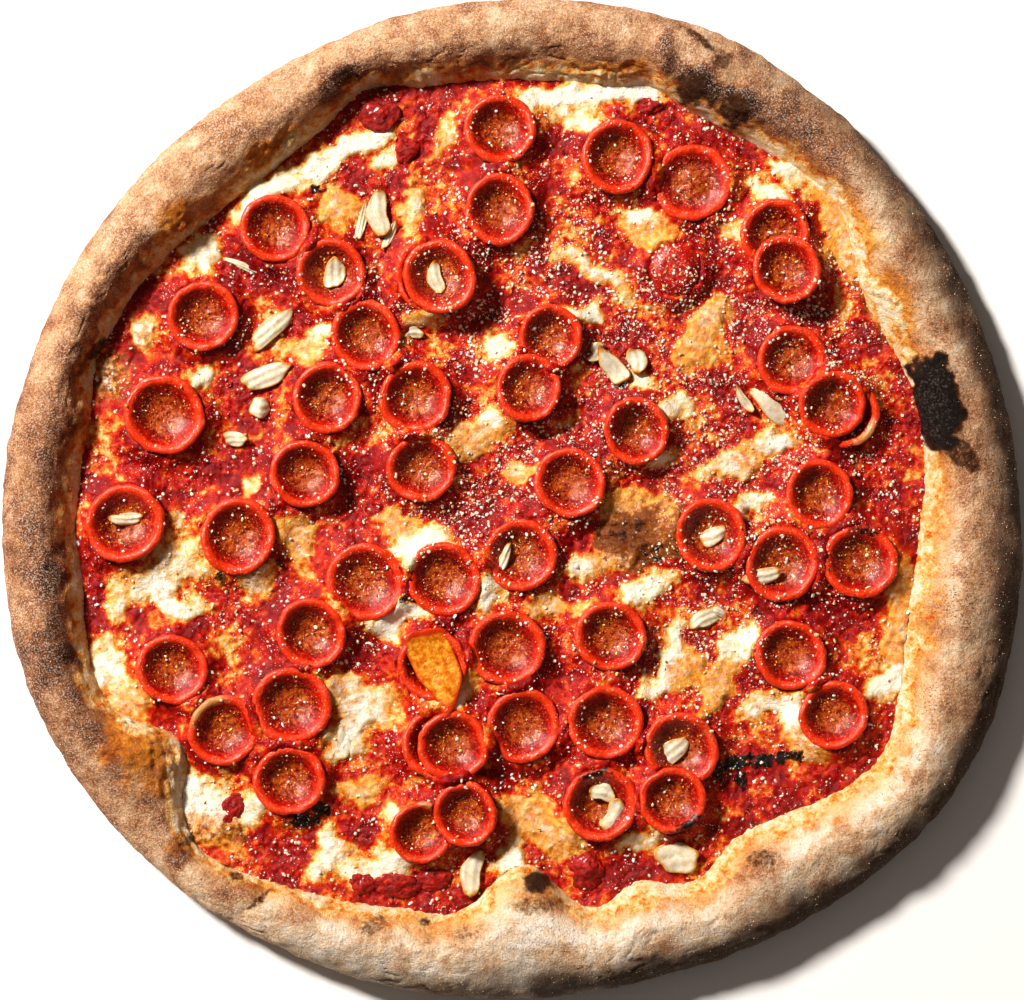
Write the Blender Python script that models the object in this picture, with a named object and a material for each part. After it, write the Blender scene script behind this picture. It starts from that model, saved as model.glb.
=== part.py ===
"""A whole pepperoni pizza, about 14 inches across, baked and uncut.

The dough is one solid: a thin floor with a puffed, blistered rim. The baked skin of tomato sauce and melted
mozzarella lies on the floor, with its tomato pieces and small garlic slices fused to it. Every curled slice of
pepperoni is a solid of its own, and so are the five largest slices of garlic. +Z is up, +Y is the far side of
the pizza, and the origin is on the table under the middle of the pizza's box.
"""

import math
import random
from dataclasses import dataclass, field

import bmesh
import bpy
from mathutils import Euler, Matrix, Vector, geometry, noise
from mathutils.bvhtree import BVHTree

MM = 0.001

# Overall size, and the photograph that the toppings' places are read from
PIZZA_WIDTH = 358 * MM
PHOTO_SPAN = 1023  # pixels across the pizza from left to right
PHOTO_SCALE = PIZZA_WIDTH / PHOTO_SPAN
BOX_MIDDLE = (512.0, 498.9)  # pixel over the origin
DOUGH_MIDDLE = (512.5, 500)  # pixel that the rim's radius is measured from

# The dough
OUTER_RADIUS = 174.9 * MM
TOPPING_RADIUS = 145 * MM
DOUGH_FLOOR = 4 * MM
RIM_HEIGHT = 19 * MM
RIM_WIDEST = 7.5 * MM  # height of the rim's widest line
RIM_UNDERCUT = 12 * MM  # from the widest line in to the edge of the flat underside
RIM_CREST = 0.5  # place of the crest between the toppings and the outer edge
DOUGH_SEGMENTS = 96
DOUGH_STEPS = (
    *(-1, -0.62, -0.3, 0),
    *(0.24, 0.46, 0.66, 0.84, 1),
    *(1.18, 1.36, 1.54, 1.7, 1.85, 2),
)
DOUGH_UNEVENNESS = 0.9 * MM
UNEVENNESS_SPAN = 26 * MM
INNER_WALL_ROUND = 1.5  # the larger this is, the longer the inner wall stays level before it falls
RELIEF_FADE_OUTSIDE = 0.5  # steps over which the relief fades out at the underside
RELIEF_FADE_INSIDE = 0.45  # and where the inner wall meets the floor
NORMAL_REACH = 0.02  # steps each way that the surface's direction is measured over
SHARP_ANGLE = 50  # degrees

# Swells round the pizza: direction in degrees, height in millimetres, half-spread in degrees
OUTLINE_SWELLS = ((329, 10.3, 20), (205, 6.8, 24), (66, 3.6, 15), (128, -2.9, 20), (283, -1.1, 10))
TOPPING_SWELLS = (
    (28, -6, 7),
    (44, 6, 6),
    (60, 3, 12),
    (71, 4, 3),
    (109, 6, 4),
    (130, -5, 8),
    (158, 5, 12),
    (185, 4, 12),
    (205, 11, 9),
    (217, -14, 4),
    (228, 17, 7),
    (243, 6, 8),
    (263, 10, 4),
    (270, -21, 7),
    (281, 12, 4),
    (286, -10, 7),
    (295, 7, 4),
    (304, -6, 6),
    (325, 10, 7),
    (351, -5, 10),
)
HEIGHT_SWELLS = ((329, 2, 25), (226, -3.5, 9), (60, 1.5, 14), (120, 1, 20), (180, 1.5, 18), (275, 1.5, 14))

# Blisters and dents in the rim: pixel, half-length and half-width in mm, turn in degrees, rise in mm
DOUGH_RELIEF = (
    (142, 738, 14, 12, 60, 4.5),
    (176, 222, 8, 6, 50, 2.5),
    (936, 402, 15, 9, 100, 3),
    (690, 92, 9, 8, 0, 3),
    (737, 116, 8, 7, 0, 2.5),
    (664, 62, 10, 3.5, 95, 2.5),
    (92, 424, 9, 8, 0, 2.5),
    (97, 362, 9, 3.5, 60, -2.5),
    (104, 614, 5, 3.5, 90, -2.5),
    (160, 268, 6, 5, 0, 2),
    (536, 884, 11, 8, 0, 3),
    (224, 872, 9, 7, 30, 1.5),
    (258, 900, 8, 2.5, 40, -1.2),
    (955, 600, 12, 9, 80, 1.5),
    (760, 862, 10, 8, 20, 1.5),
    (372, 926, 10, 7, 0, 1.2),
    (60, 620, 14, 8, 95, 1.5),
    (480, 40, 16, 8, 0, 1.2),
    (300, 120, 14, 8, 35, 1.2),
)

# The baked skin of sauce and cheese
SKIN_GAP = 0.3 * MM
SKIN_THICKNESS = 1.7 * MM
SKIN_TOP = DOUGH_FLOOR + SKIN_GAP + SKIN_THICKNESS
SKIN_EDGE_GAP = 1.0 * MM
SKIN_SPACING = 10 * MM
SKIN_RING_POINTS = 7
SKIN_RING_SHARE = 0.8  # radius of the ring of points under a slice, as a share of the slice's
SKIN_UNEVENNESS = 0.5 * MM
SKIN_UNEVENNESS_SPAN = 15 * MM
RING_CLEARANCE = 1.5 * MM  # least distance of a slice's ring of points from other rings and the edge
LATTICE_CLEARANCE = 3 * MM  # the same for the lattice between them
LEVEL_BAND = 1 * MM  # level skin round each slice
EDGE_BAND = 4 * MM
EDGE_RISE = 0.5 * MM  # most that the skin rises in the band along its edge

# Pools and lumps of melted cheese, written as the dough's blisters are
CHEESE_RELIEF = (
    (410, 212, 8, 6, 90, 2.2),
    (447, 130, 8, 5, 80, 1.8),
    (341, 208, 7, 5, 0, 1.5),
    (386, 160, 7, 4, 0, 1.5),
    (330, 158, 16, 5, 35, 1.6),
    (264, 188, 14, 5, 40, 1.6),
    (205, 250, 12, 5, 60, 1.6),
    (600, 98, 18, 6, 10, 1.8),
    (648, 228, 9, 7, 0, 2),
    (596, 270, 14, 4, 140, 1.5),
    (706, 330, 12, 9, 60, 2.2),
    (676, 407, 7, 6, 0, 1.5),
    (472, 434, 9, 6, 30, 1.8),
    (760, 452, 10, 6, 30, 2),
    (186, 566, 12, 9, 0, 2.6),
    (400, 637, 9, 6, 0, 2),
    (370, 712, 13, 9, 20, 2.4),
    (205, 810, 13, 10, 20, 2.8),
    (330, 850, 9, 6, 60, 2),
    (700, 680, 12, 7, 70, 2.2),
    (630, 548, 13, 10, 20, 2.6),
    (884, 640, 16, 5, 80, 1.8),
    (845, 225, 14, 6, 120, 2),
    (806, 176, 12, 6, 160, 1.8),
    (548, 850, 11, 7, 0, 2),
)

# Pieces fused to the skin: pixel, half-length, half-width and thickness in mm, turn in degrees
TOMATO_PIECES = (
    (379, 116, 7, 6, 5, 0),
    (407, 150, 5, 4, 4, 30),
    (650, 107, 4, 3.5, 4, 0),
    (232, 808, 6, 4.5, 4.4, 60),
    (586, 868, 6, 7, 5, 0),
    (396, 884, 8, 5, 4.4, 0),
)
FUSED_GARLIC = (
    (705, 619, 6, 3, 1.8, 30),
    (340, 738, 8.5, 4.5, 1.8, 70),
    (473, 872, 8, 4, 1.8, 75),
    (678, 858, 8, 5.5, 1.8, 20),
    (411, 333, 4.5, 2.5, 1.6, 0),
    (236, 439, 4.5, 2.5, 1.6, 10),
    (260, 407, 4, 3.5, 1.6, 0),
)
FUSED_SINK = 0.3  # share of a fused piece that is sunk in the skin
FUSED_FOOT = 0.6  # least height of a fused piece's middle over the skin's underside, in its thicknesses
TOMATO_UNEVENNESS = 0.25
TOMATO_LUMPS = 1.3  # lumps across a tomato piece

# The curled slices of pepperoni: pixel at the middle of the lip, and the lip's radius in millimetres. A slice
# that lies over another comes after it.
PEPPERONI = (
    (500, 130, 12.6),
    (500, 210, 12.6),
    (276, 229, 12.3),
    (332, 273, 12.3),
    (430, 276, 13.0),
    (442, 278, 13.2),
    (204, 316, 12.6),
    (366, 336, 12.6),
    (165, 415, 14.3),
    (328, 398, 12.6),
    (416, 398, 13.0),
    (422, 468, 12.3),
    (306, 474, 12.3),
    (551, 337, 11.6),
    (528, 390, 11.9),
    (617, 158, 13.0),
    (692, 183, 14.0),
    (775, 234, 12.3),
    (786, 272, 12.3),
    (674, 270, 10.5),
    (791, 360, 12.3),
    (844, 414, 12.3),
    (830, 404, 12.0),
    (636, 430, 11.9),
    (571, 483, 12.6),
    (819, 494, 12.3),
    (711, 535, 13.0),
    (782, 564, 13.3),
    (859, 562, 13.3),
    (127, 524, 14.0),
    (239, 536, 13.6),
    (366, 582, 14.0),
    (444, 579, 13.3),
    (521, 555, 13.0),
    (312, 633, 12.6),
    (507, 648, 13.6),
    (611, 636, 12.6),
    (790, 655, 12.6),
    (172, 669, 12.6),
    (292, 705, 14.0),
    (433, 664, 12.6),
    (224, 730, 12.6),
    (290, 780, 12.6),
    (438, 743, 12.6),
    (454, 745, 12.6),
    (523, 725, 13.3),
    (606, 722, 13.3),
    (681, 748, 13.3),
    (672, 799, 11.9),
    (600, 804, 13.3),
    (833, 715, 12.3),
    (422, 831, 11.2),
    (467, 812, 11.6),
)
DOMED_SLICE = 20  # number of the slice that curled the other way up
SHALLOW_SLICE = 17  # number of the slice that stayed nearly flat
PEPPERONI_THICKNESS = 1.7 * MM
CURL_HEIGHT = 7 * MM
CURL_HEIGHT_RANGE = (0.88, 1.1)
OUT_OF_ROUND = 0.025
LIP_WAVE = 0.05
SHALLOW_HEIGHT = 5 * MM
DOME_HEIGHT = 6 * MM
CURL_SEGMENTS = 14
CURL_OUTSIDE = ((0.5, 0), (0.88, 0.42), (1, 0.78))  # shares of a slice's radius and height, from its foot
CURL_LIP = (0.88, 1)
CURL_INSIDE = (0.5, 0.42)  # where the wall meets the floor of the cup
TILT_LIMIT = 4.0  # degrees
STACK_SHARE = 0.9  # slices nearer than this share of their radii together lie one on the other
STACK_RISE = 2.3 * MM
STACK_TILT = 6.0  # degrees
STACK_GAP = 0.35 * MM
PRESS_GAP = 0.9 * MM  # between two slices that press each other flat
COVER_HEIGHT = 14 * MM  # the space over a slice that the slice under it leaves free

# The largest garlic slices: pixel, half-length and half-width in mm, turn in degrees
GARLIC_SLICES = (
    (379, 213, 8, 4.2, 95),
    (272, 328, 11, 3.2, 45),
    (267, 376, 10, 3.6, 30),
    (771, 406, 10.5, 3.2, 143),
    (612, 366, 7, 4, 120),
)
GARLIC_THICKNESS = 1.8 * MM
GARLIC_BEND = 0.6 * MM
GARLIC_SIDES = 10


@dataclass
class Curl:
    """One slice of pepperoni, curled into a cup by the heat."""

    name: str
    middle: Vector
    radius: float
    height: float
    seat: float
    tilt: float
    tilt_towards: float
    domed: bool
    phase: float
    flats: list = field(default_factory=list)  # direction and distance of each plane a neighbour presses
    over: list = field(default_factory=list)  # slices that lie on this one


def linear(hex_colour):
    """An sRGB hex colour as linear RGBA."""
    channels = [int(hex_colour[start : start + 2], 16) / 255 for start in (1, 3, 5)]
    return [((c + 0.055) / 1.055) ** 2.4 if c > 0.04045 else c / 12.92 for c in channels] + [1.0]


def make_material(name, hex_colour, roughness):
    material = bpy.data.materials.new(name)
    material.use_nodes = True
    surface = material.node_tree.nodes["Principled BSDF"]
    surface.inputs["Base Color"].default_value = linear(hex_colour)
    surface.inputs["Roughness"].default_value = roughness
    surface.inputs["Metallic"].default_value = 0.0
    material.diffuse_color = linear(hex_colour)
    return material


def from_photo(pixel_x, pixel_y):
    """The place on the table under a pixel of the photograph."""
    x = (pixel_x - BOX_MIDDLE[0]) * PHOTO_SCALE
    y = (BOX_MIDDLE[1] - pixel_y) * PHOTO_SCALE
    return Vector((x, y, 0))


def direction_of(degrees):
    return Vector((math.cos(math.radians(degrees)), math.sin(math.radians(degrees)), 0))


def swell(degrees, swells):
    """The sum of the swells round the pizza at one direction from its middle."""
    total = 0.0
    for direction, height, spread in swells:
        away = (degrees - direction + 180) % 360 - 180
        total += height * MM * math.exp(-0.5 * (away / spread) ** 2)
    return total


def relief(place, bumps):
    """The sum of the rounded bumps over one place, each an oval hill that fades out to nothing."""
    total = 0.0
    for pixel_x, pixel_y, half_length, half_width, turn, rise in bumps:
        offset = place - from_photo(pixel_x, pixel_y)
        along = offset.x * math.cos(math.radians(turn)) + offset.y * math.sin(math.radians(turn))
        across = offset.y * math.cos(math.radians(turn)) - offset.x * math.sin(math.radians(turn))
        reach = (along / (half_length * MM)) ** 2 + (across / (half_width * MM)) ** 2
        total += rise * MM * math.exp(-reach)
    return total


def topping_radius(degrees):
    return TOPPING_RADIUS + swell(degrees, TOPPING_SWELLS)


def rim_section(degrees, step):
    """Radius and height of the rim's surface.

    Step runs from -1 at the edge of the flat underside, through 0 at the widest line and 1 on the crest, to 2
    where the inner wall meets the floor under the toppings.
    """
    outer = OUTER_RADIUS + swell(degrees, OUTLINE_SWELLS)
    inner = topping_radius(degrees)
    crest = inner + RIM_CREST * (outer - inner)
    top = RIM_HEIGHT + swell(degrees, HEIGHT_SWELLS)
    turn = step * math.pi / 2
    if step <= 0:
        return outer - RIM_UNDERCUT * (1 - math.cos(turn)), RIM_WIDEST * (1 + math.sin(turn))
    if step <= 1:
        return crest + (outer - crest) * math.cos(turn), RIM_WIDEST + (top - RIM_WIDEST) * math.sin(turn)
    inward = step - 1
    return crest - (crest - inner) * inward, DOUGH_FLOOR + (top - DOUGH_FLOOR) * (1 - inward**INNER_WALL_ROUND)


def rim_point(degrees, step):
    """A point of the rim, moved out along its normal by the blisters, dents and unevenness there."""
    radius, height = rim_section(degrees, step)
    outward = direction_of(degrees)
    place = from_photo(*DOUGH_MIDDLE) + outward * radius
    radius_before, height_before = rim_section(degrees, max(step - NORMAL_REACH, -1))
    radius_after, height_after = rim_section(degrees, min(step + NORMAL_REACH, 2))
    normal = outward * (height_after - height_before) + Vector((0, 0, radius_before - radius_after))
    shown = min(max(step + RELIEF_FADE_OUTSIDE, 0), 1) * min(max((2 - step) / RELIEF_FADE_INSIDE, 0), 1)
    spot = place / UNEVENNESS_SPAN + Vector((0, 0, height / UNEVENNESS_SPAN))
    bulge = relief(place, DOUGH_RELIEF) + DOUGH_UNEVENNESS * noise.noise(spot)
    return place + Vector((0, 0, height)) + normal.normalized() * (bulge * shown)


def add_object(name, mesh, material):
    mesh.materials.append(material)
    obj = bpy.data.objects.new(name, mesh)
    bpy.context.collection.objects.link(obj)
    return obj


def mesh_from_rings(name, rings, first_pole, last_pole):
    """A closed skin through rings of equal length, with a pole point at each end, shaded smooth."""
    work = bmesh.new()
    loops = [[work.verts.new(point) for point in ring] for ring in rings]
    start = work.verts.new(first_pole)
    end = work.verts.new(last_pole)
    count = len(loops[0])
    for index in range(count):
        following = (index + 1) % count
        work.faces.new((start, loops[0][following], loops[0][index]))
        work.faces.new((end, loops[-1][index], loops[-1][following]))
        for lower, upper in zip(loops, loops[1:]):
            work.faces.new((lower[index], lower[following], upper[following], upper[index]))
    bmesh.ops.recalc_face_normals(work, faces=work.faces)
    mesh = bpy.data.meshes.new(name)
    work.to_mesh(mesh)
    work.free()
    mesh.shade_smooth()
    mesh.set_sharp_from_angle(angle=math.radians(SHARP_ANGLE))
    return mesh


def make_crust(material):
    """The dough: flat underside, puffed rim, and the floor that the toppings lie on."""
    rings = []
    for step in DOUGH_STEPS:
        rings.append([rim_point(index * 360 / DOUGH_SEGMENTS, step) for index in range(DOUGH_SEGMENTS)])
    middle = from_photo(*DOUGH_MIDDLE)
    floor = middle + Vector((0, 0, DOUGH_FLOOR))
    return add_object("crust", mesh_from_rings("crust", rings, middle, floor), material)


def plan_curls():
    """Every slice with its place, its tilt, and what it presses against or lies on."""
    draw = random.Random(7)
    curls = []
    for number, (pixel_x, pixel_y, radius) in enumerate(PEPPERONI, start=1):
        height = CURL_HEIGHT * draw.uniform(*CURL_HEIGHT_RANGE)
        if number == SHALLOW_SLICE:
            height = SHALLOW_HEIGHT
        if number == DOMED_SLICE:
            height = DOME_HEIGHT
        curl = Curl(
            name=f"pepperoni_{number:02}",
            middle=from_photo(pixel_x, pixel_y),
            radius=radius * MM,
            height=height,
            seat=SKIN_TOP + SKIN_GAP,
            tilt=draw.uniform(0, TILT_LIMIT),
            tilt_towards=draw.uniform(0, 360),
            domed=number == DOMED_SLICE,
            phase=draw.uniform(0, 360),
        )
        for other in curls:
            settle(other, curl)
        curls.append(curl)
    return curls


def settle(first, later):
    """Stacks the later slice on the first where they lie far over each other, or presses both flat."""
    apart = later.middle - first.middle
    together = first.radius + later.radius
    if apart.length < STACK_SHARE * together:
        first.over.append(later)
        later.seat = SKIN_TOP + SKIN_GAP + STACK_RISE
        later.tilt = STACK_TILT
        later.tilt_towards = math.degrees(math.atan2(apart.y, apart.x))
    elif apart.length < together + PRESS_GAP:
        share = first.radius / together
        towards = apart.normalized()
        first.flats.append((towards, apart.length * share - PRESS_GAP / 2))
        later.flats.append((-towards, apart.length * (1 - share) - PRESS_GAP / 2))
        first.tilt = min(first.tilt, 1)
        later.tilt = min(later.tilt, 1)


def curl_ring(curl, radius, height, grow=0.0):
    """One ring of a slice: a little out of round, uneven in height, flat where a neighbour presses it."""
    ring = []
    for index in range(CURL_SEGMENTS):
        degrees = index * 360 / CURL_SEGMENTS
        outward = direction_of(degrees)
        wobble = math.cos(math.radians(2 * degrees + curl.phase))
        reach = curl.radius * (1 + OUT_OF_ROUND * wobble)
        for towards, distance in curl.flats:
            facing = outward.dot(towards)
            if facing > 0:
                reach = min(reach, distance / facing)
        rise = height * (1 + LIP_WAVE * math.cos(math.radians(3 * degrees + 2 * curl.phase)))
        ring.append(outward * (radius * reach / curl.radius + grow) + Vector((0, 0, rise)))
    return ring


def place_points(curl, rings, poles):
    """Turns the slice over if it is domed, tilts it, and sets its lowest point on its seat."""
    turn = Euler((math.pi if curl.domed else 0, 0, 0)).to_matrix()
    axis = direction_of(curl.tilt_towards + 90)
    turn = Matrix.Rotation(math.radians(-curl.tilt), 3, axis) @ turn
    rings = [[turn @ point for point in ring] for ring in rings]
    poles = [turn @ point for point in poles]
    lowest = min(point.z for ring in rings for point in ring)
    move = curl.middle + Vector((0, 0, curl.seat - lowest))
    return [[point + move for point in ring] for ring in rings], [point + move for point in poles]


def make_curl(curl, material):
    """A slice as a shallow bowl: a small foot, a rounded lip, and a floor inside."""
    profile = (*CURL_OUTSIDE, CURL_LIP, CURL_INSIDE)
    rings = [curl_ring(curl, across * curl.radius, up * curl.height) for across, up in profile]
    poles = [Vector((0, 0, 0)), Vector((0, 0, PEPPERONI_THICKNESS))]
    rings, poles = place_points(curl, rings, poles)
    return add_object(curl.name, mesh_from_rings(curl.name, rings, *poles), material)


def make_cover(curl, material):
    """The room that a slice takes up, with a small gap round it and the space over it."""
    profile = [(across * curl.radius, up * curl.height - STACK_GAP) for across, up in CURL_OUTSIDE]
    profile.append((curl.radius, COVER_HEIGHT))
    rings = [curl_ring(curl, *point, grow=STACK_GAP) for point in profile]
    poles = [Vector((0, 0, -STACK_GAP)), Vector((0, 0, COVER_HEIGHT))]
    rings, poles = place_points(curl, rings, poles)
    drop = Vector((0, 0, STACK_GAP))
    rings = [[point - drop for point in ring] for ring in rings]
    poles = [point - drop for point in poles]
    return add_object(f"room_over_{curl.name}", mesh_from_rings("cover", rings, *poles), material)


def linked_faces(work):
    """The faces of a mesh as groups that hang together."""
    groups = []
    left = set(work.faces)
    while left:
        group = {left.pop()}
        front = list(group)
        while front:
            face = front.pop()
            near = {other for edge in face.edges for other in edge.link_faces} & left
            left -= near
            group |= near
            front += near
        groups.append(group)
    return groups


def drop_scraps(mesh):
    """Keeps the largest body of a mesh that a cut has left in several."""
    work = bmesh.new()
    work.from_mesh(mesh)
    groups = sorted(linked_faces(work), key=len)
    scraps = [face for group in groups[:-1] for face in group]
    bmesh.ops.delete(work, geom=scraps, context="FACES")
    work.to_mesh(mesh)
    work.free()


def make_pepperoni(curls, material):
    """All the slices. One that lies under another gives way to it."""
    for curl in curls:
        slice_object = make_curl(curl, material)
        for upper in curl.over:
            cut = slice_object.modifiers.new(f"under {upper.name}", "BOOLEAN")
            cut.operation = "DIFFERENCE"
            cover = make_cover(upper, material)
            cut.object = cover
            bpy.context.view_layer.objects.active = slice_object
            bpy.ops.object.modifier_apply(modifier=cut.name)
            bpy.data.objects.remove(cover, do_unlink=True)
        if curl.over:
            drop_scraps(slice_object.data)


def plate_rings(length, width, thickness, turn, bend):
    """A thin oval plate with rounded edges, its ends lifted by the bend."""
    rings = []
    for share, height in ((0.8, -0.5), (1, 0), (0.8, 0.5)):
        ring = []
        for index in range(GARLIC_SIDES):
            outward = direction_of(index * 360 / GARLIC_SIDES)
            lift = bend * outward.x**2
            flat = Vector((outward.x * length * share, outward.y * width * share, 0))
            ring.append(flat + Vector((0, 0, height * thickness + lift)))
        rings.append([Matrix.Rotation(math.radians(turn), 3, "Z") @ point for point in ring])
    return rings


def make_plate(name, middle, sizes, turn, material):
    """An oval plate of garlic with its middle at one place. Sizes are half-length, half-width, thickness."""
    length, width, thickness = sizes
    rings = plate_rings(length, width, thickness, turn, GARLIC_BEND)
    rings = [[point + middle for point in ring] for ring in rings]
    half = Vector((0, 0, thickness / 2))
    return add_object(name, mesh_from_rings(name, rings, middle - half, middle + half), material)


def make_garlic(material):
    for number, (pixel_x, pixel_y, length, width, turn) in enumerate(GARLIC_SLICES, start=1):
        middle = from_photo(pixel_x, pixel_y)
        middle.z = SKIN_TOP + SKIN_GAP + GARLIC_THICKNESS / 2
        sizes = (length * MM, width * MM, GARLIC_THICKNESS)
        make_plate(f"garlic_slice_{number}", middle, sizes, turn, material)


def skin_points(curls):
    """Places of the skin's points: its edge, a ring round each slice's foot, and a lattice between them."""
    middle = from_photo(*DOUGH_MIDDLE)
    edge = []
    for index in range(DOUGH_SEGMENTS):
        degrees = index * 360 / DOUGH_SEGMENTS
        edge.append(middle + direction_of(degrees) * (topping_radius(degrees) - SKIN_EDGE_GAP))
    points = list(edge)
    for curl in curls:
        for index in range(SKIN_RING_POINTS):
            outward = direction_of(index * 360 / SKIN_RING_POINTS)
            point = curl.middle + outward * (curl.radius * SKIN_RING_SHARE)
            if min(room_left(point, curls, SKIN_RING_SHARE, curl), edge_room(point)) > RING_CLEARANCE:
                points.append(point)
    row_height = SKIN_SPACING * math.sqrt(3) / 2
    rows = int(OUTER_RADIUS / row_height)
    for row in range(-rows, rows + 1):
        for column in range(-rows - 4, rows + 5):
            point = Vector(((column + row % 2 / 2) * SKIN_SPACING, row * row_height, 0))
            if min(room_left(point, curls, SKIN_RING_SHARE, None), edge_room(point)) > LATTICE_CLEARANCE:
                points.append(point)
    return points


def room_left(point, curls, share, own):
    """Distance from a place to the nearest slice's ring, of slices other than its own."""
    return min((point - c.middle).length - share * c.radius for c in curls if c is not own)


def edge_room(point):
    """Distance from a place in to the edge of the skin."""
    offset = point - from_photo(*DOUGH_MIDDLE)
    degrees = math.degrees(math.atan2(offset.y, offset.x))
    return topping_radius(degrees) - SKIN_EDGE_GAP - offset.length


def skin_height(place, curls):
    """Height of the skin: level under slices and garlic, in hills of cheese between them."""
    height = SKIN_TOP + relief(place, CHEESE_RELIEF)
    height += SKIN_UNEVENNESS * noise.noise(place / SKIN_UNEVENNESS_SPAN)
    if room_left(place, curls, 1, None) < LEVEL_BAND:
        return SKIN_TOP
    for pixel_x, pixel_y, half_length, _, _ in GARLIC_SLICES:
        if (place - from_photo(pixel_x, pixel_y)).length < half_length * MM + SKIN_SPACING:
            return SKIN_TOP
    if edge_room(place) < EDGE_BAND:
        height = min(height, SKIN_TOP + EDGE_RISE)
    return height


def make_skin_mesh(curls):
    points = skin_points(curls)
    flat = [point.to_2d() for point in points]
    edges = [(index, (index + 1) % DOUGH_SEGMENTS) for index in range(DOUGH_SEGMENTS)]
    flat, _, triangles, _, _, _ = geometry.delaunay_2d_cdt(flat, edges, [], 1, 1e-7)
    work = bmesh.new()
    top = []
    for spot in flat:
        place = Vector((spot.x, spot.y, 0))
        top.append(work.verts.new(place + Vector((0, 0, skin_height(place, curls)))))
    for triangle in triangles:
        work.faces.new([top[index] for index in triangle])
    rim = [edge for edge in work.edges if edge.is_boundary]
    walls = bmesh.ops.extrude_edge_only(work, edges=rim)["geom"]
    low = [vertex for vertex in walls if isinstance(vertex, bmesh.types.BMVert)]
    for vertex in low:
        vertex.co.z = DOUGH_FLOOR + SKIN_GAP
    bmesh.ops.contextual_create(work, geom=[edge for edge in work.edges if edge.is_boundary])
    bmesh.ops.recalc_face_normals(work, faces=work.faces)
    mesh = bpy.data.meshes.new("sauce_and_cheese")
    work.to_mesh(mesh)
    work.free()
    mesh.shade_smooth()
    mesh.set_sharp_from_angle(angle=math.radians(SHARP_ANGLE))
    return mesh


def make_tomato(name, middle, sizes, turn, material):
    """A crushed piece of tomato, an uneven lump. Sizes are half-length, half-width, thickness."""
    work = bmesh.new()
    bmesh.ops.create_icosphere(work, subdivisions=2, radius=1)
    sizes = (sizes[0], sizes[1], sizes[2] / 2)
    for vertex in work.verts:
        bulge = 1 + TOMATO_UNEVENNESS * noise.noise(vertex.co * TOMATO_LUMPS + middle / (10 * MM))
        shaped = Vector([share * size for share, size in zip(vertex.co * bulge, sizes)])
        vertex.co = Matrix.Rotation(math.radians(turn), 3, "Z") @ shaped + middle
    mesh = bpy.data.meshes.new(name)
    work.to_mesh(mesh)
    work.free()
    return add_object(name, mesh, material)


def lowest_under(surface, middle, length, width, turn):
    """Height of the lowest spot of a surface under an oval piece."""
    along = direction_of(turn) * length
    across = direction_of(turn + 90) * width
    heights = []
    for offset in (Vector((0, 0, 0)), along, -along, across, -across):
        start = middle + offset + Vector((0, 0, COVER_HEIGHT))
        spot = surface.ray_cast(start, Vector((0, 0, -1)))[0]
        if spot:
            heights.append(spot.z)
    return min(heights)


def make_skin(curls, material):
    """The sauce and cheese as one skin, with tomato pieces and the smaller garlic slices fused to it."""
    skin = add_object("sauce_and_cheese", make_skin_mesh(curls), material)
    corners = [vertex.co for vertex in skin.data.vertices]
    surface = BVHTree.FromPolygons(corners, [face.vertices for face in skin.data.polygons])
    fused = bpy.data.collections.new("fused to the skin")
    bpy.context.scene.collection.children.link(fused)
    pieces = [(*piece, make_tomato) for piece in TOMATO_PIECES]
    pieces += [(*piece, make_plate) for piece in FUSED_GARLIC]
    for number, (pixel_x, pixel_y, length, width, thickness, turn, make) in enumerate(pieces):
        middle = from_photo(pixel_x, pixel_y)
        sizes = (length * MM, width * MM, thickness * MM)
        low = lowest_under(surface, middle, length * MM, width * MM, turn)
        lowest = DOUGH_FLOOR + SKIN_GAP + FUSED_FOOT * thickness * MM
        middle.z = max(low + (0.5 - FUSED_SINK) * thickness * MM, lowest)
        piece = make(f"fused_{number}", middle, sizes, turn, material)
        bpy.context.collection.objects.unlink(piece)
        fused.objects.link(piece)
    join = skin.modifiers.new("fuse", "BOOLEAN")
    join.operation = "UNION"
    join.operand_type = "COLLECTION"
    join.collection = fused
    bpy.context.view_layer.objects.active = skin
    bpy.ops.object.modifier_apply(modifier=join.name)
    for piece in list(fused.objects):
        bpy.data.objects.remove(piece, do_unlink=True)
    bpy.data.collections.remove(fused)
    return skin


def build():
    for obj in list(bpy.data.objects):
        bpy.data.objects.remove(obj, do_unlink=True)
    crust_material = make_material("Baked crust", "#C99A63", 0.85)
    skin_material = make_material("Tomato sauce and melted mozzarella", "#A8331C", 0.4)
    pepperoni_material = make_material("Pepperoni", "#B8260F", 0.35)
    garlic_material = make_material("Roast garlic", "#E8D5A8", 0.45)
    curls = plan_curls()
    make_crust(crust_material)
    make_skin(curls, skin_material)
    make_pepperoni(curls, pepperoni_material)
    make_garlic(garlic_material)


build()
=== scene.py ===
"""The looks of a baked pepperoni pizza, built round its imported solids.

Every piece repeats the form that the solids have, from the same sizes, and adds what an oven does to it: the
blistered and floured rim, the pulp of the sauce, the melted and browned cheese, the oil in each curled slice
of pepperoni, roasted garlic, grated hard cheese and burnt flecks.
"""

import itertools
import math
import random
from dataclasses import dataclass, field

import bmesh
import bpy
import numpy as np
from mathutils import Euler, Matrix, Vector, noise


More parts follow.
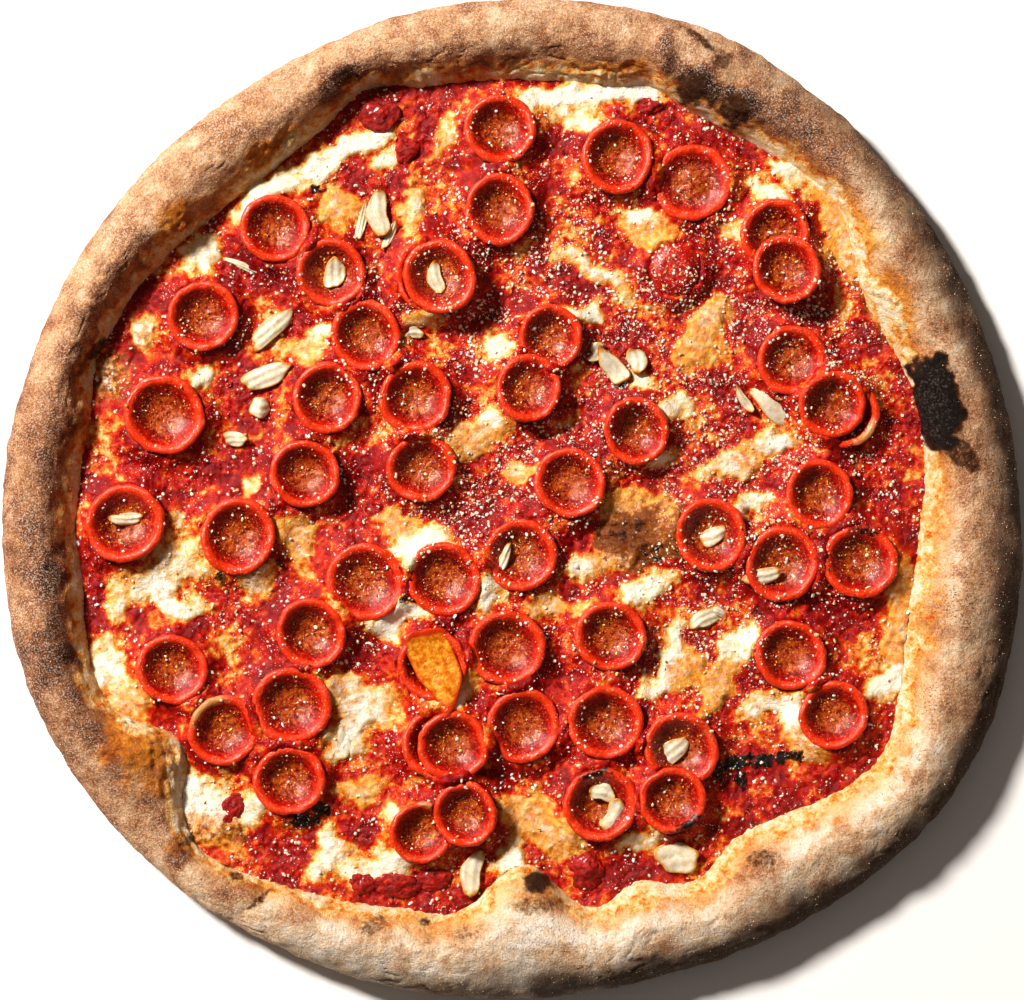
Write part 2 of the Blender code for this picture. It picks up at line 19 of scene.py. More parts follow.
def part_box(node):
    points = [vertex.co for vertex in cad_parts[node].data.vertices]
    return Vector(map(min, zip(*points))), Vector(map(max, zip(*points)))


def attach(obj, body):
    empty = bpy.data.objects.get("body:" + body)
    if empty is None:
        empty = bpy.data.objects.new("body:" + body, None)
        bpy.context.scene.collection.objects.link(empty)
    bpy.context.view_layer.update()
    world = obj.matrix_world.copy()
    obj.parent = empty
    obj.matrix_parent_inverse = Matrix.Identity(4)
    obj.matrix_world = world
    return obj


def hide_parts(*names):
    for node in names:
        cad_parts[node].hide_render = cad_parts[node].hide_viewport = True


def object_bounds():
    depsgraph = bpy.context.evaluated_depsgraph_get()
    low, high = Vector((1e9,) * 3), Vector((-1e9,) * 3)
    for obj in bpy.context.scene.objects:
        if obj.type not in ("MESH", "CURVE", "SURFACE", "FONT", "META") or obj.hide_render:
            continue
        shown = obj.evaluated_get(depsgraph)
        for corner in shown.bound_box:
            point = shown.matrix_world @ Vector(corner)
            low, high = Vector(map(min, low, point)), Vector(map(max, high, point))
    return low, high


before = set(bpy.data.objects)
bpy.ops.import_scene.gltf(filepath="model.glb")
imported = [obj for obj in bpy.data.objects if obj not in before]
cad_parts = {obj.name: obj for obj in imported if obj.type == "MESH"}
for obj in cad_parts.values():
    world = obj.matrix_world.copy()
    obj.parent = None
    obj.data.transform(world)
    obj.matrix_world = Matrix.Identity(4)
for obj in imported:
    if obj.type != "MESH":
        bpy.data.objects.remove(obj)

SOLID_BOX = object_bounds()
MM = 0.001
PER_MM = 1 / MM

# Overall size, and the photograph that places are read from
PIZZA_WIDTH = 358 * MM
PHOTO_SPAN = 1023  # pixels across the pizza from left to right
PHOTO_SCALE = PIZZA_WIDTH / PHOTO_SPAN
BOX_MIDDLE = (512.0, 498.9)  # pixel over the origin
DOUGH_MIDDLE = (512.5, 500)  # pixel that the rim's radius is measured from
IMAGE_SIZE = (1024, 1000)

# The dough, as in the solids
OUTER_RADIUS = 174.9 * MM
TOPPING_RADIUS = 145 * MM
DOUGH_FLOOR = 4 * MM
RIM_HEIGHT = 19 * MM
RIM_WIDEST = 7.5 * MM
RIM_UNDERCUT = 12 * MM
RIM_CREST = 0.5
INNER_WALL_ROUND = 1.5
DOUGH_UNEVENNESS = 0.9 * MM
UNEVENNESS_SPAN = 26 * MM
OUTLINE_SWELLS = ((329, 10.3, 20), (205, 6.8, 24), (66, 3.6, 15), (128, -2.9, 20), (283, -1.1, 10))
TOPPING_SWELLS = (
    (28, -6, 7), (44, 6, 6), (60, 3, 12), (71, 4, 3), (109, 6, 4), (130, -5, 8), (158, 5, 12), (185, 4, 12),
    (205, 11, 9), (217, -14, 4), (228, 17, 7), (243, 6, 8), (263, 10, 4), (270, -21, 7), (281, 12, 4),
    (286, -10, 7), (295, 7, 4), (304, -6, 6), (325, 10, 7), (351, -5, 10),
)
# Bake of the rim by direction: direction in degrees, how much browner, half-spread in degrees
BAKE_SWELLS = (
    (0, 0.16, 25), (60, 0.12, 25), (105, 0.1, 25), (150, 0.08, 25), (188, 0.24, 22), (214, 0.16, 14),
    (240, -0.1, 20), (275, -0.12, 20), (330, -0.05, 20),
)
HEIGHT_SWELLS = ((329, 2, 25), (226, -3.5, 9), (60, 1.5, 14), (120, 1, 20), (180, 1.5, 18), (275, 1.5, 14))
DOUGH_RELIEF = (
    (142, 738, 14, 12, 60, 4.5), (176, 222, 8, 6, 50, 2.5), (936, 402, 15, 9, 100, 3),
    (690, 92, 9, 8, 0, 3), (737, 116, 8, 7, 0, 2.5), (664, 62, 10, 3.5, 95, 2.5), (92, 424, 9, 8, 0, 2.5),
    (97, 362, 9, 3.5, 60, -2.5), (104, 614, 5, 3.5, 90, -1.2), (160, 268, 6, 5, 0, 2),
    (536, 884, 11, 8, 0, 3), (224, 872, 9, 7, 30, 1.5), (258, 900, 8, 2.5, 40, -1.2),
    (955, 600, 12, 9, 80, 1.5), (760, 862, 10, 8, 20, 1.5), (372, 926, 10, 7, 0, 1.2),
    (60, 620, 14, 8, 95, 1.5), (480, 40, 16, 8, 0, 1.2), (300, 120, 14, 8, 35, 1.2),
)

# The baked skin of sauce and cheese, as in the solids
SKIN_GAP = 0.3 * MM
SKIN_TOP = DOUGH_FLOOR + SKIN_GAP + 1.7 * MM
STACK_RISE = 2.3 * MM
STACK_SHARE = 0.9
STACK_TILT = 6.0
STACK_GAP = 0.35 * MM
PRESS_GAP = 0.9 * MM
PEPPERONI_THICKNESS = 1.7 * MM
TYPICAL_RADIUS = 12.6 * MM  # of a curled slice
CURL_HEIGHT = 7 * MM
SHALLOW_HEIGHT = 5 * MM
DOME_HEIGHT = 6 * MM
HUMP_HEIGHT = 2.2 * MM  # of the hump in the shallow slice
HUMP_RADIUS = 5.5 * MM
TILT_LIMIT = 4.0
# A curled slice's section, from its foot over its lip to its floor, as shares of its radius and height
CURL_SECTION = (
    *((0.3, 0), (0.5, 0), (0.7, 0.16), (0.88, 0.42), (0.97, 0.62), (1, 0.8)),
    *((0.985, 0.92), (0.945, 0.985), (0.885, 1), (0.825, 0.965), (0.77, 0.88)),
    *((0.7, 0.75), (0.6, 0.58), (0.5, 0.44), (0.38, 0.33), (0.25, 0.27), (0.1, 0.245)),
)
LIP_POINT = 8  # number of the section's point on top of the lip
CHEESE_SHARE = 0.5  # more cheese than this in the skin counts as cheese
DRAWN_UP = 3.4 * MM  # how much higher the skin is against a slice
LATTICE_SPACING = 0.71 * MM  # between the corners of the skin's mesh
LATTICE_MARGIN = 3.5 * MM  # how far the skin runs in under the rim's wall
DOMED_SLICE = 20
SHALLOW_SLICE = 17
PEPPERONI = (
    (500, 130, 12.6), (500, 210, 12.6), (276, 229, 12.3), (332, 273, 12.3), (430, 276, 13.0),
    (442, 278, 13.2), (204, 316, 12.6), (366, 336, 12.6), (165, 415, 14.3), (328, 398, 12.6),
    (416, 398, 13.0), (422, 468, 12.3), (306, 474, 12.3), (551, 337, 11.6), (528, 390, 11.9),
    (617, 158, 13.0), (692, 183, 14.0), (775, 234, 12.3), (786, 272, 12.3), (674, 270, 10.5),
    (791, 360, 12.3), (844, 414, 12.3), (830, 404, 12.0), (636, 430, 11.9), (571, 483, 12.6),
    (819, 494, 12.3), (711, 535, 13.0), (782, 564, 13.3), (859, 562, 13.3), (127, 524, 14.0),
    (239, 536, 13.6), (366, 582, 14.0), (444, 579, 13.3), (521, 555, 13.0), (312, 633, 12.6),
    (507, 648, 13.6), (611, 636, 12.6), (790, 655, 12.6), (172, 669, 12.6), (292, 705, 14.0),
    (433, 664, 12.6), (224, 730, 12.6), (290, 780, 12.6), (438, 743, 12.6), (454, 745, 12.6),
    (523, 725, 13.3), (606, 722, 13.3), (681, 748, 13.3), (672, 799, 11.9), (600, 804, 13.3),
    (833, 715, 12.3), (422, 831, 11.2), (467, 812, 11.6),
)

# Melted mozzarella: pixel, half-length and half-width in mm, turn in degrees, thickness in mm, then how
# golden and how browned it is, from 0 to 1
CHEESE_PATCHES = (
    (410, 212, 9, 6, 90, 2.2, 0.5, 0.0), (447, 130, 9, 5, 80, 1.8, 0.6, 0.2),
    (341, 209, 7, 5, 0, 1.5, 0.8, 0.1), (386, 160, 6, 4, 20, 1.5, 0.1, 0.0),
    (372, 136, 8, 4, 20, 1.5, 0.1, 0.0), (346, 148, 7, 4, 30, 1.5, 0.1, 0.0),
    (322, 168, 9, 5, 40, 1.5, 0.2, 0.0), (284, 182, 11, 5, 40, 1.6, 0.2, 0.0),
    (248, 204, 9, 5, 50, 1.6, 0.3, 0.0), (203, 250, 10, 5, 60, 1.6, 0.3, 0.0),
    (548, 100, 10, 5, 0, 1.6, 0.1, 0.0), (600, 96, 14, 5, 5, 1.6, 0.1, 0.0),
    (645, 90, 8, 4, 0, 1.6, 0.3, 0.0), (575, 121, 11, 3.5, 0, 1.6, 0.4, 0.0),
    (648, 231, 9, 6, 0, 2.0, 0.8, 0.1), (640, 216, 6, 3.5, 0, 1.6, 0.1, 0.0),
    (590, 268, 15, 4, -30, 1.6, 0.6, 0.1), (711, 317, 9, 7, 60, 2.0, 0.8, 0.1),
    (694, 347, 9, 7, 60, 2.0, 0.9, 0.1), (676, 407, 7, 5, 0, 1.5, 0.3, 0.0),
    (586, 314, 6, 4, 0, 1.5, 0.1, 0.0), (498, 346, 6, 4, 0, 1.4, 0.2, 0.0),
    (489, 413, 5, 4, 30, 1.4, 0.2, 0.0), (472, 436, 11, 6, 20, 1.8, 0.8, 0.1),
    (324, 331, 6, 3.5, 0, 1.3, 0.3, 0.0), (306, 349, 6, 4, 0, 1.3, 0.8, 0.0),
    (425, 316, 6, 3, 0, 1.3, 0.7, 0.0), (208, 378, 6, 3.5, 0, 1.3, 0.3, 0.0),
    (253, 485, 7, 2.5, 45, 1.3, 0.4, 0.0), (767, 192, 9, 3.5, -20, 1.5, 0.4, 0.1),
    (790, 173, 11, 4.5, -20, 2.0, 0.1, 0.0), (827, 195, 6, 5, 0, 1.8, 0.9, 0.1),
    (833, 219, 5, 5, 0, 1.8, 0.9, 0.1), (841, 240, 5, 5, 0, 1.8, 0.8, 0.1),
    (855, 256, 7, 5, -50, 1.8, 0.8, 0.2), (872, 290, 8, 4.5, -60, 1.6, 0.8, 0.5),
    (891, 318, 8, 4, -65, 1.5, 0.9, 0.5), (754, 453, 12, 5, 35, 2.0, 0.9, 0.1),
    (777, 442, 6, 4, 0, 1.6, 0.2, 0.0), (720, 470, 9, 3.5, 20, 1.5, 0.5, 0.0),
    (758, 499, 8, 4, 10, 1.6, 0.2, 0.0), (180, 562, 12, 9, 0, 2.4, 0.45, 0.1),
    (158, 592, 9, 4.5, -20, 1.6, 0.4, 0.1), (194, 605, 9, 4.5, 10, 1.6, 0.3, 0.0),
    (117, 598, 4.5, 10, 0, 1.6, 0.5, 0.1), (108, 668, 8, 9, 0, 1.6, 0.2, 0.0),
    (128, 700, 9, 6, 30, 1.8, 0.8, 0.2), (425, 541, 12, 4, 0, 1.6, 0.3, 0.0),
    (409, 556, 5, 5, 0, 1.8, 0.0, 0.0), (400, 520, 8, 4, 0, 1.3, 0.8, 0.1),
    (298, 538, 6, 8, 0, 1.5, 0.8, 0.2), (262, 580, 7, 6, 30, 1.4, 0.6, 0.3),
    (492, 592, 6, 6, 0, 1.6, 0.1, 0.0), (386, 628, 7, 6, 10, 1.7, 0.1, 0.0),
    (402, 612, 9, 4, 10, 1.5, 0.2, 0.0), (370, 706, 12, 9, 10, 2.2, 0.5, 0.05),
    (345, 690, 8, 6, 20, 1.8, 0.7, 0.1), (343, 745, 9, 7, 60, 1.8, 0.4, 0.1),
    (441, 692, 8, 5, -20, 1.6, 0.3, 0.0), (465, 682, 6, 5, 0, 1.5, 0.8, 0.0),
    (205, 800, 12, 9, 0, 2.4, 0.2, 0.0), (180, 785, 6, 13, 0, 1.8, 0.1, 0.0),
    (190, 828, 11, 5, -15, 1.8, 0.9, 0.3), (205, 822, 12, 6, -10, 2.0, 0.9, 0.6),
    (251, 812, 6, 5, 0, 1.5, 0.2, 0.1), (327, 854, 9, 5, 60, 1.8, 0.15, 0.0),
    (342, 850, 7, 4, -10, 1.4, 0.9, 0.4), (352, 876, 8, 5, -20, 1.5, 0.2, 0.0),
    (385, 862, 9, 6, 0, 1.5, 0.2, 0.0), (673, 648, 4.5, 11, -15, 1.6, 0.3, 0.0),
    (686, 672, 10, 6, 70, 1.8, 0.9, 0.1), (717, 690, 10, 5, 50, 1.8, 0.9, 0.2),
    (652, 690, 7, 4, 30, 1.5, 0.0, 0.0), (738, 640, 8, 5, 50, 1.6, 0.1, 0.0),
    (730, 660, 8, 4, 50, 1.5, 0.9, 0.0), (766, 700, 8, 5, 20, 1.6, 0.5, 0.0),
    (790, 712, 6, 5, 60, 1.5, 0.1, 0.0), (806, 742, 9, 5, -40, 1.5, 0.8, 0.0),
    (900, 598, 4.5, 14, 0, 1.6, 0.85, 0.1), (897, 650, 4, 12, 0, 1.6, 0.85, 0.1),
    (882, 684, 6, 6, 40, 1.8, 0.05, 0.0), (579, 569, 6, 6, 60, 1.7, 0.3, 0.0),
    (645, 590, 10, 4, 25, 1.8, 0.2, 0.0), (622, 505, 9, 5, 20, 2.4, 0.95, 0.25),
    (638, 535, 12, 9, 25, 2.6, 0.9, 0.95), (660, 512, 5, 10, 0, 2.4, 0.95, 0.35),
    (548, 606, 10, 4, 0, 1.3, 0.7, 0.0), (520, 812, 10, 6, 0, 1.5, 0.85, 0.1),
    (550, 835, 12, 7, 0, 1.8, 0.85, 0.2), (505, 862, 6, 8, -30, 2.0, 0.05, 0.0),
    (640, 840, 8, 4, 20, 1.5, 0.5, 0.1), (396, 810, 6, 5, 0, 1.4, 0.3, 0.0),
    (362, 792, 8, 5, 30, 1.3, 0.8, 0.1), (112, 378, 7, 5, 60, 1.5, 0.6, 0.5),
    (146, 325, 7, 5, 60, 1.5, 0.6, 0.3), (520, 470, 6, 5, 0, 1.2, 0.7, 0.0),
    (640, 380, 6, 4, 0, 1.2, 0.4, 0.0), (735, 230, 5, 4, 0, 1.2, 0.7, 0.0),
    (610, 560, 8, 5, 10, 1.3, 0.8, 0.3), (655, 460, 7, 3, 0, 1.2, 0.5, 0.0),
)

# Colour marks on the rim: pixel, half-length and half-width in mm, turn in degrees, strength from 0 to 1
CHAR_MARKS = (
    (934, 402, 17, 9.5, 98, 1.0), (940, 440, 6, 5, 0, 0.7), (958, 452, 9, 5, -50, 0.45),
    (690, 88, 6, 5, 0, 0.5), (735, 114, 6, 5, 0, 0.5), (700, 42, 11, 2, -40, 0.45), (722, 62, 5, 4, 0, 0.4),
    (541, 884, 6, 4.5, 0, 0.55), (541, 906, 10, 3, 0, 0.3), (763, 858, 6, 3.5, 15, 0.35),
    (226, 867, 3, 1.5, 0, 0.4), (236, 877, 2.5, 1.5, 0, 0.4), (262, 896, 8, 1.2, 40, 0.4),
    (372, 926, 5, 3.5, 30, 0.3), (467, 931, 6, 3, 10, 0.25), (424, 922, 2, 1.5, 0, 0.4),
    (100, 350, 5, 2, 60, 0.4), (192, 838, 5, 2.5, 20, 0.35), (222, 840, 4, 1.5, 10, 0.4),
    (345, 78, 5, 3, 30, 0.35), (380, 88, 5, 3, 10, 0.25), (161, 279, 2, 1.5, 0, 0.35),
)
BROWN_MARKS = (
    (92, 424, 9, 8, 0, 0.6), (100, 360, 12, 7, 60, 0.5), (96, 480, 9, 14, 0, 0.45),
    (86, 560, 9, 16, 0, 0.35), (86, 640, 9, 14, 0, 0.35), (104, 614, 4.5, 3.5, 90, 0.6),
    (110, 690, 8, 8, 0, 0.4), (49, 575, 7, 7, 0, 0.4), (49, 672, 7, 7, 0, 0.35), (160, 290, 7, 6, 50, 0.6),
    (185, 235, 6, 5, 50, 0.4), (690, 95, 12, 9, 0, 0.9), (735, 115, 11, 9, 0, 0.9),
    (780, 130, 16, 12, -40, 0.6), (820, 165, 10, 9, -40, 0.4), (665, 60, 4, 9, 0, 0.5),
    (350, 85, 14, 6, 20, 0.6), (430, 78, 14, 5, 5, 0.3), (536, 884, 13, 9, 0, 0.6),
    (430, 920, 16, 7, 0, 0.3), (372, 926, 9, 6, 0, 0.5), (240, 880, 14, 9, 30, 0.6),
    (200, 845, 14, 6, 20, 0.7), (300, 905, 10, 6, 10, 0.4), (467, 931, 9, 5, 10, 0.4),
    (762, 858, 10, 7, 20, 0.6), (764, 820, 6, 3.5, 20, 0.7), (800, 806, 6, 3.5, 20, 0.6),
    (640, 880, 12, 6, 10, 0.35), (905, 380, 8, 8, 0, 0.4), (916, 490, 5, 9, 0, 0.3),
)
GREY_MARKS = (
    (780, 120, 18, 10, -40, 0.7), (850, 190, 16, 9, -50, 0.4), (956, 604, 9, 8, 0, 0.6),
    (927, 698, 8, 6, 30, 0.6), (905, 760, 12, 8, 50, 0.3), (985, 500, 9, 20, 0, 0.4),
    (190, 850, 9, 6, 30, 0.3), (560, 935, 20, 6, 0, 0.2), (820, 880, 14, 8, 40, 0.4),
)
GOLD_MARKS = (
    (138, 735, 14, 12, 60, 1.0), (160, 775, 8, 8, 0, 0.7), (298, 866, 14, 6, -15, 0.8),
    (176, 222, 8, 5, 50, 0.7), (272, 152, 15, 4, 38, 0.9), (595, 75, 19, 3.5, 7, 0.8),
    (275, 853, 10, 6, 10, 0.6), (518, 862, 11, 6, 0, 0.7), (728, 818, 11, 4, 35, 0.8),
    (764, 812, 9, 4, 30, 0.7), (612, 880, 10, 5, 10, 0.4), (905, 450, 6, 20, 0, 0.7),
    (915, 380, 6, 10, 0, 0.5), (896, 300, 6, 12, 20, 0.6), (860, 230, 6, 12, 30, 0.5),
    (812, 780, 8, 3, 40, 0.5), (200, 838, 14, 4, 15, 0.5), (420, 900, 20, 3, 0, 0.3),
)
PALE_MARKS = (
    (870, 780, 20, 9, 50, 0.9), (900, 700, 9, 16, -10, 0.6), (935, 540, 8, 22, 0, 0.6),
    (800, 830, 18, 7, 35, 0.8), (700, 868, 16, 6, 18, 0.8), (505, 880, 9, 6, 0, 0.8),
    (560, 925, 20, 6, 5, 0.5), (330, 890, 14, 6, 0, 0.6), (870, 250, 9, 12, 30, 0.4),
)
RIM_MARKS = {
    "gold": GOLD_MARKS,
    "char": CHAR_MARKS,
    "brown": BROWN_MARKS,
    "pale": PALE_MARKS,
    "grey": GREY_MARKS,
}

# Burnt flecks and strips on the toppings
SAUCE_CHAR = (
    (316, 190, 3, 2, 0, 0.9), (303, 820, 7, 3.5, 10, 1.0), (320, 810, 5, 3.5, 20, 0.9),
    (718, 768, 3.2, 5.5, 0, 1.0), (736, 763, 6, 3, 5, 1.0), (763, 760, 8, 3, 4, 1.0),
    (791, 756, 6, 2.6, 5, 0.9), (741, 781, 3, 4.5, 0, 0.9), (220, 576, 3, 2, 60, 0.9),
    (280, 564, 3, 2, -30, 0.8), (268, 600, 4, 2, 20, 0.4), (622, 385, 3, 2, 20, 0.8),
    (404, 600, 2, 2, 0, 0.8), (560, 690, 2, 1.5, 0, 0.6), (658, 560, 2.5, 2, 0, 0.8),
    (755, 610, 2.5, 3, 0, 0.7), (878, 660, 3, 1.5, 40, 0.6), (852, 690, 2, 1.5, 0, 0.8),
    (540, 830, 2, 1, 0, 0.7),
)
TOMATO_PIECES = (
    (379, 116, 7, 6, 5, 0), (407, 150, 5, 4, 4, 30), (650, 107, 4, 3.5, 4, 0), (622, 112, 4, 3.5, 3.5, 0),
    (232, 808, 6, 4.5, 4.4, 60), (586, 868, 6, 7, 5, 0), (396, 884, 8, 5, 4.4, 0), (430, 878, 7, 5, 4, 0),
    (362, 884, 5, 4, 4, 0),
)

# Lips fried crisp: number of the slice, direction and spread in degrees, how tan and how burnt, from 0 to 1
CRISP_LIPS = (
    (42, 130, 60, 0.9, 0), (22, -40, 50, 0.8, 0), (52, 60, 60, 0.7, 0.2), (49, -60, 50, 0.3, 0.8),
    (29, 80, 50, 0.2, 0.7), (50, 100, 60, 0.3, 0.7), (48, 30, 40, 0.5, 0.5), (8, 60, 40, 0.5, 0.2),
)

# Where most hard cheese was grated: pixel, and reach in mm
GRATED_MOST = ((640, 340, 62), (520, 300, 50), (740, 470, 45), (480, 500, 40), (800, 340, 35), (690, 620, 30))

# Garlic: pixel, half-length, half-width and thickness in mm, turn in degrees. The first five are solids of
# their own.
GARLIC_SLICES = (
    (379, 213, 8, 4.2, 1.8, 95), (272, 328, 11, 3.2, 1.8, 45), (267, 376, 10, 3.6, 1.8, 30),
    (771, 406, 10.5, 3.2, 1.8, 143), (612, 366, 7, 4, 1.8, 120),
)
GARLIC_RISE = 1.0 * MM  # how much the sauce lifts them
SMALL_GARLIC_HEIGHT = SKIN_TOP + 2.1 * MM
SMALL_GARLIC = (
    (247, 268, 9, 1.3, 1.2, -22), (362, 222, 8, 1.5, 1.3, 80), (390, 235, 6, 1.4, 1.2, 70),
    (594, 352, 4.5, 3, 1.5, 60), (636, 360, 4.5, 3.5, 1.5, 100), (744, 400, 5, 1.8, 1.4, 120),
    (790, 392, 5, 2, 1.4, 40), (719, 612, 3, 1.5, 1.4, -20), (330, 722, 5, 2.5, 1.5, 40),
    (705, 619, 6, 3, 1.8, 30), (340, 738, 8.5, 4.5, 1.8, 70), (473, 872, 8, 4, 1.8, 75),
    (678, 858, 8, 5.5, 1.8, 20), (411, 333, 4.5, 2.5, 1.6, 0), (236, 439, 4.5, 2.5, 1.6, 10),
    (260, 407, 4, 3.5, 1.6, 0),
)
# Fried skin of cheese: number of the slice under it, pixel, half-length and half-width in mm, turn in degrees
FLAP = (41, 437, 667, 14, 9, -79)
# Garlic inside the curled slices: number of the slice, half-length, half-width in mm, turn, offset in mm
GARLIC_IN_CURLS = (
    (6, 5.5, 3, 100, (-2, 0)), (4, 6, 3.5, 100, (1, 0)), (30, 6, 2.2, 0, (0, 2)),
    (34, 5.5, 2, 60, (-6, -1)), (48, 8, 3.5, 45, (-3, -1)), (28, 7, 2.8, 10, (-7, -4)),
    (50, 6, 4.5, 50, (5, -4)), (27, 5, 3.5, 10, (1, 0)), (50, 4.5, 3.5, -20, (1, 4)),
)

# Crumbs: how many to a square metre where they lie thickest, the smallest and the largest in metres, how far
# they are lifted, the sides and rings of the ball that each is made from, how far its corners are knocked
# about, and the seed
CRUMBS = {
    "grated_cheese": (620000.0, 0.0003, 0.00095, 0.0, 5, 3, 0.0001, 3),
    "cheese_dust": (1250000.0, 0.00014, 0.00034, 0.00002, 4, 2, 0.00003, 33),
    "fried_cheese_crumbs": (380000.0, 0.0002, 0.00065, 0.00006, 4, 2, 0.00006, 21),
    "herb_flecks": (1500.0, 0.00025, 0.0007, 0.0002, 5, 3, 0.00012, 9),
    "flour_and_semolina": (450000.0, 0.0001, 0.0003, 0.00003, 4, 2, 0.00003, 13),
}
# What the tree that scatters them is given, and each thing's kind
CRUMB_INPUTS = {
    "Geometry": "Geometry",
    "Crumbs per square metre": "Float",
    "Smallest": "Float",
    "Largest": "Float",
    "Lift": "Float",
    "Sides": "Int",
    "Rings": "Int",
    "Knock": "Float",
    "Seed": "Int",
    "Material": "Material",
}

# Stage, light and camera
FLOOR_REACH = 3.0
FLOOR_HEIGHT = -0.3 * MM
FILL_COLOUR = "#FFEEE0"
FILL_STRENGTH = 0.13
LAMP_COLOUR = "#FFF9F2"
LAMP_POWER = 146
LAMP_SIZE = 0.5
LAMP_DISTANCE = 3.0
LAMP_AZIMUTH = 138  # degrees
LAMP_ELEVATION = 39  # degrees
CAMERA_DISTANCE = 1.6  # above the rim's widest line
SENSOR_WIDTH = 36

# Kinds of node that are used, by the word for each: type, sockets of its inputs in order, output and settings
SMOOTH = {"interpolation_type": "SMOOTHSTEP"}
NODE_KINDS = {
    "place": ("ShaderNodeTexCoord", (), "Object", {}),
    "carried": ("ShaderNodeAttribute", (), "Fac", {}),
    "noise": ("ShaderNodeTexNoise", ("Vector", "Scale", "Detail", "Roughness", "Distortion"), "Fac", {}),
    "sum": ("ShaderNodeMath", (0, 1), 0, {"operation": "ADD"}),
    "sum to 1": ("ShaderNodeMath", (0, 1), 0, {"operation": "ADD", "use_clamp": True}),
    "product": ("ShaderNodeMath", (0, 1), 0, {"operation": "MULTIPLY"}),
    "scaled sum": ("ShaderNodeMath", (0, 1, 2), 0, {"operation": "MULTIPLY_ADD"}),
    "power": ("ShaderNodeMath", (0, 1), 0, {"operation": "POWER"}),
    "rise": ("ShaderNodeMapRange", ("Value", "From Min", "From Max"), 0, SMOOTH),
    "range": ("ShaderNodeMapRange", ("Value", "To Min", "To Max"), 0, {}),
    "ramp": ("ShaderNodeValToRGB", ("Fac",), "Color", {}),
    "mix": ("ShaderNodeMix", (0, 6, 7), 2, {"data_type": "RGBA"}),
    "bump": ("ShaderNodeBump", ("Height", "Distance", "Strength", "Normal"), "Normal", {}),
    "upward": ("ShaderNodeCombineXYZ", ("Z",), 0, {}),
    "scaled vector": ("ShaderNodeVectorMath", (0, "Scale"), 0, {"operation": "SCALE"}),
    "chance": ("FunctionNodeRandomValue", (2, 3, "Seed"), 1, {"data_type": "FLOAT"}),
    "chance vector": ("FunctionNodeRandomValue", (0, 1, "Seed"), 0, {"data_type": "FLOAT_VECTOR"}),
    "named number": ("GeometryNodeInputNamedAttribute", ("Name",), "Attribute", {"data_type": "FLOAT"}),
    "points on faces": ("GeometryNodeDistributePointsOnFaces", ("Mesh", "Density", "Seed"), "Points", {}),
    "moved": ("GeometryNodeSetPosition", ("Geometry", "Offset"), 0, {}),
    "ball": ("GeometryNodeMeshUVSphere", ("Segments", "Rings", "Radius"), "Mesh", {}),
    "instances": ("GeometryNodeInstanceOnPoints", ("Points", "Instance", "Rotation", "Scale"), 0, {}),
    "numbered": (
        "GeometryNodeStoreNamedAttribute", ("Geometry", "Name", "Value"), 0,
        {"data_type": "FLOAT", "domain": "INSTANCE"},
    ),
    "realized": ("GeometryNodeRealizeInstances", ("Geometry",), 0, {}),
    "dressed": ("GeometryNodeSetMaterial", ("Geometry", "Material"), 0, {}),
    "given out": ("NodeGroupOutput", ("Geometry",), None, {}),
}


def linear(hex_colour):
    """An sRGB hex colour as linear RGBA."""
    channels = [int(hex_colour[start : start + 2], 16) / 255 for start in (1, 3, 5)]
    return [((c + 0.055) / 1.055) ** 2.4 if c > 0.04045 else c / 12.92 for c in channels] + [1.0]


def from_photo(pixel_x, pixel_y):
    """The place on the table under a pixel of the photograph, as x and y in metres."""
    return np.array([(pixel_x - BOX_MIDDLE[0]) * PHOTO_SCALE, (BOX_MIDDLE[1] - pixel_y) * PHOTO_SCALE])


def over_photo(pixel_x, pixel_y, height):
    """The place at a height over a pixel of the photograph."""
    return np.array([*from_photo(pixel_x, pixel_y), height])


def compass(degrees):
    """Unit vectors that point in these directions round the pizza."""
    return np.stack([np.cos(np.radians(degrees)), np.sin(np.radians(degrees))], 1)


def turned_from(degrees, direction):
    """How far these directions are from the given one, from -180 to 180 degrees."""
    return (degrees - direction + 180) % 360 - 180


# Uneven fields, all fixed by their seed


def scrambled(cells, seed):
    """A number from -1 to 1 for each whole-number cell, always the same for the same cell and seed."""
    mixed = np.full(len(cells), seed * 2654435761 + 97, np.int64)
    for axis, prime in zip(range(cells.shape[1]), (73856093, 19349663, 83492791)):
        mixed ^= cells[:, axis] * prime
    for _ in range(2):
        mixed &= 0xFFFFFFFF
        mixed = (mixed ^ (mixed >> 16)) * 0x45D9F3B
    mixed &= 0xFFFFFFFF
    return (mixed ^ (mixed >> 16)) / 0x7FFFFFFF - 1.0


def lumps(points, span, seed=0):
    """Smooth noise of about -1 to 1, whose lumps are about one span apart, in two or three dimensions."""
    cell = points / span
    base = np.floor(cell).astype(np.int64)
    part = cell - base
    fade = part**3 * (part * (part * 6 - 15) + 10)
    total = np.zeros(len(points))
    for corner in itertools.product((0, 1), repeat=points.shape[1]):
        corner = np.array(corner)
        slope = np.zeros(len(points))
        for axis in range(points.shape[1]):
            slope += scrambled(base + corner, seed * 7 + axis) * (part[:, axis] - corner[axis])
        total += slope * np.prod(np.where(corner == 1, fade, 1 - fade), axis=1)
    return total * 1.7


def layered(points, *layers):
    """Layers of lumps added up, each given by its height, its span in mm and its seed."""
    return sum(height * lumps(points, span * MM, seed) for height, span, seed in layers)


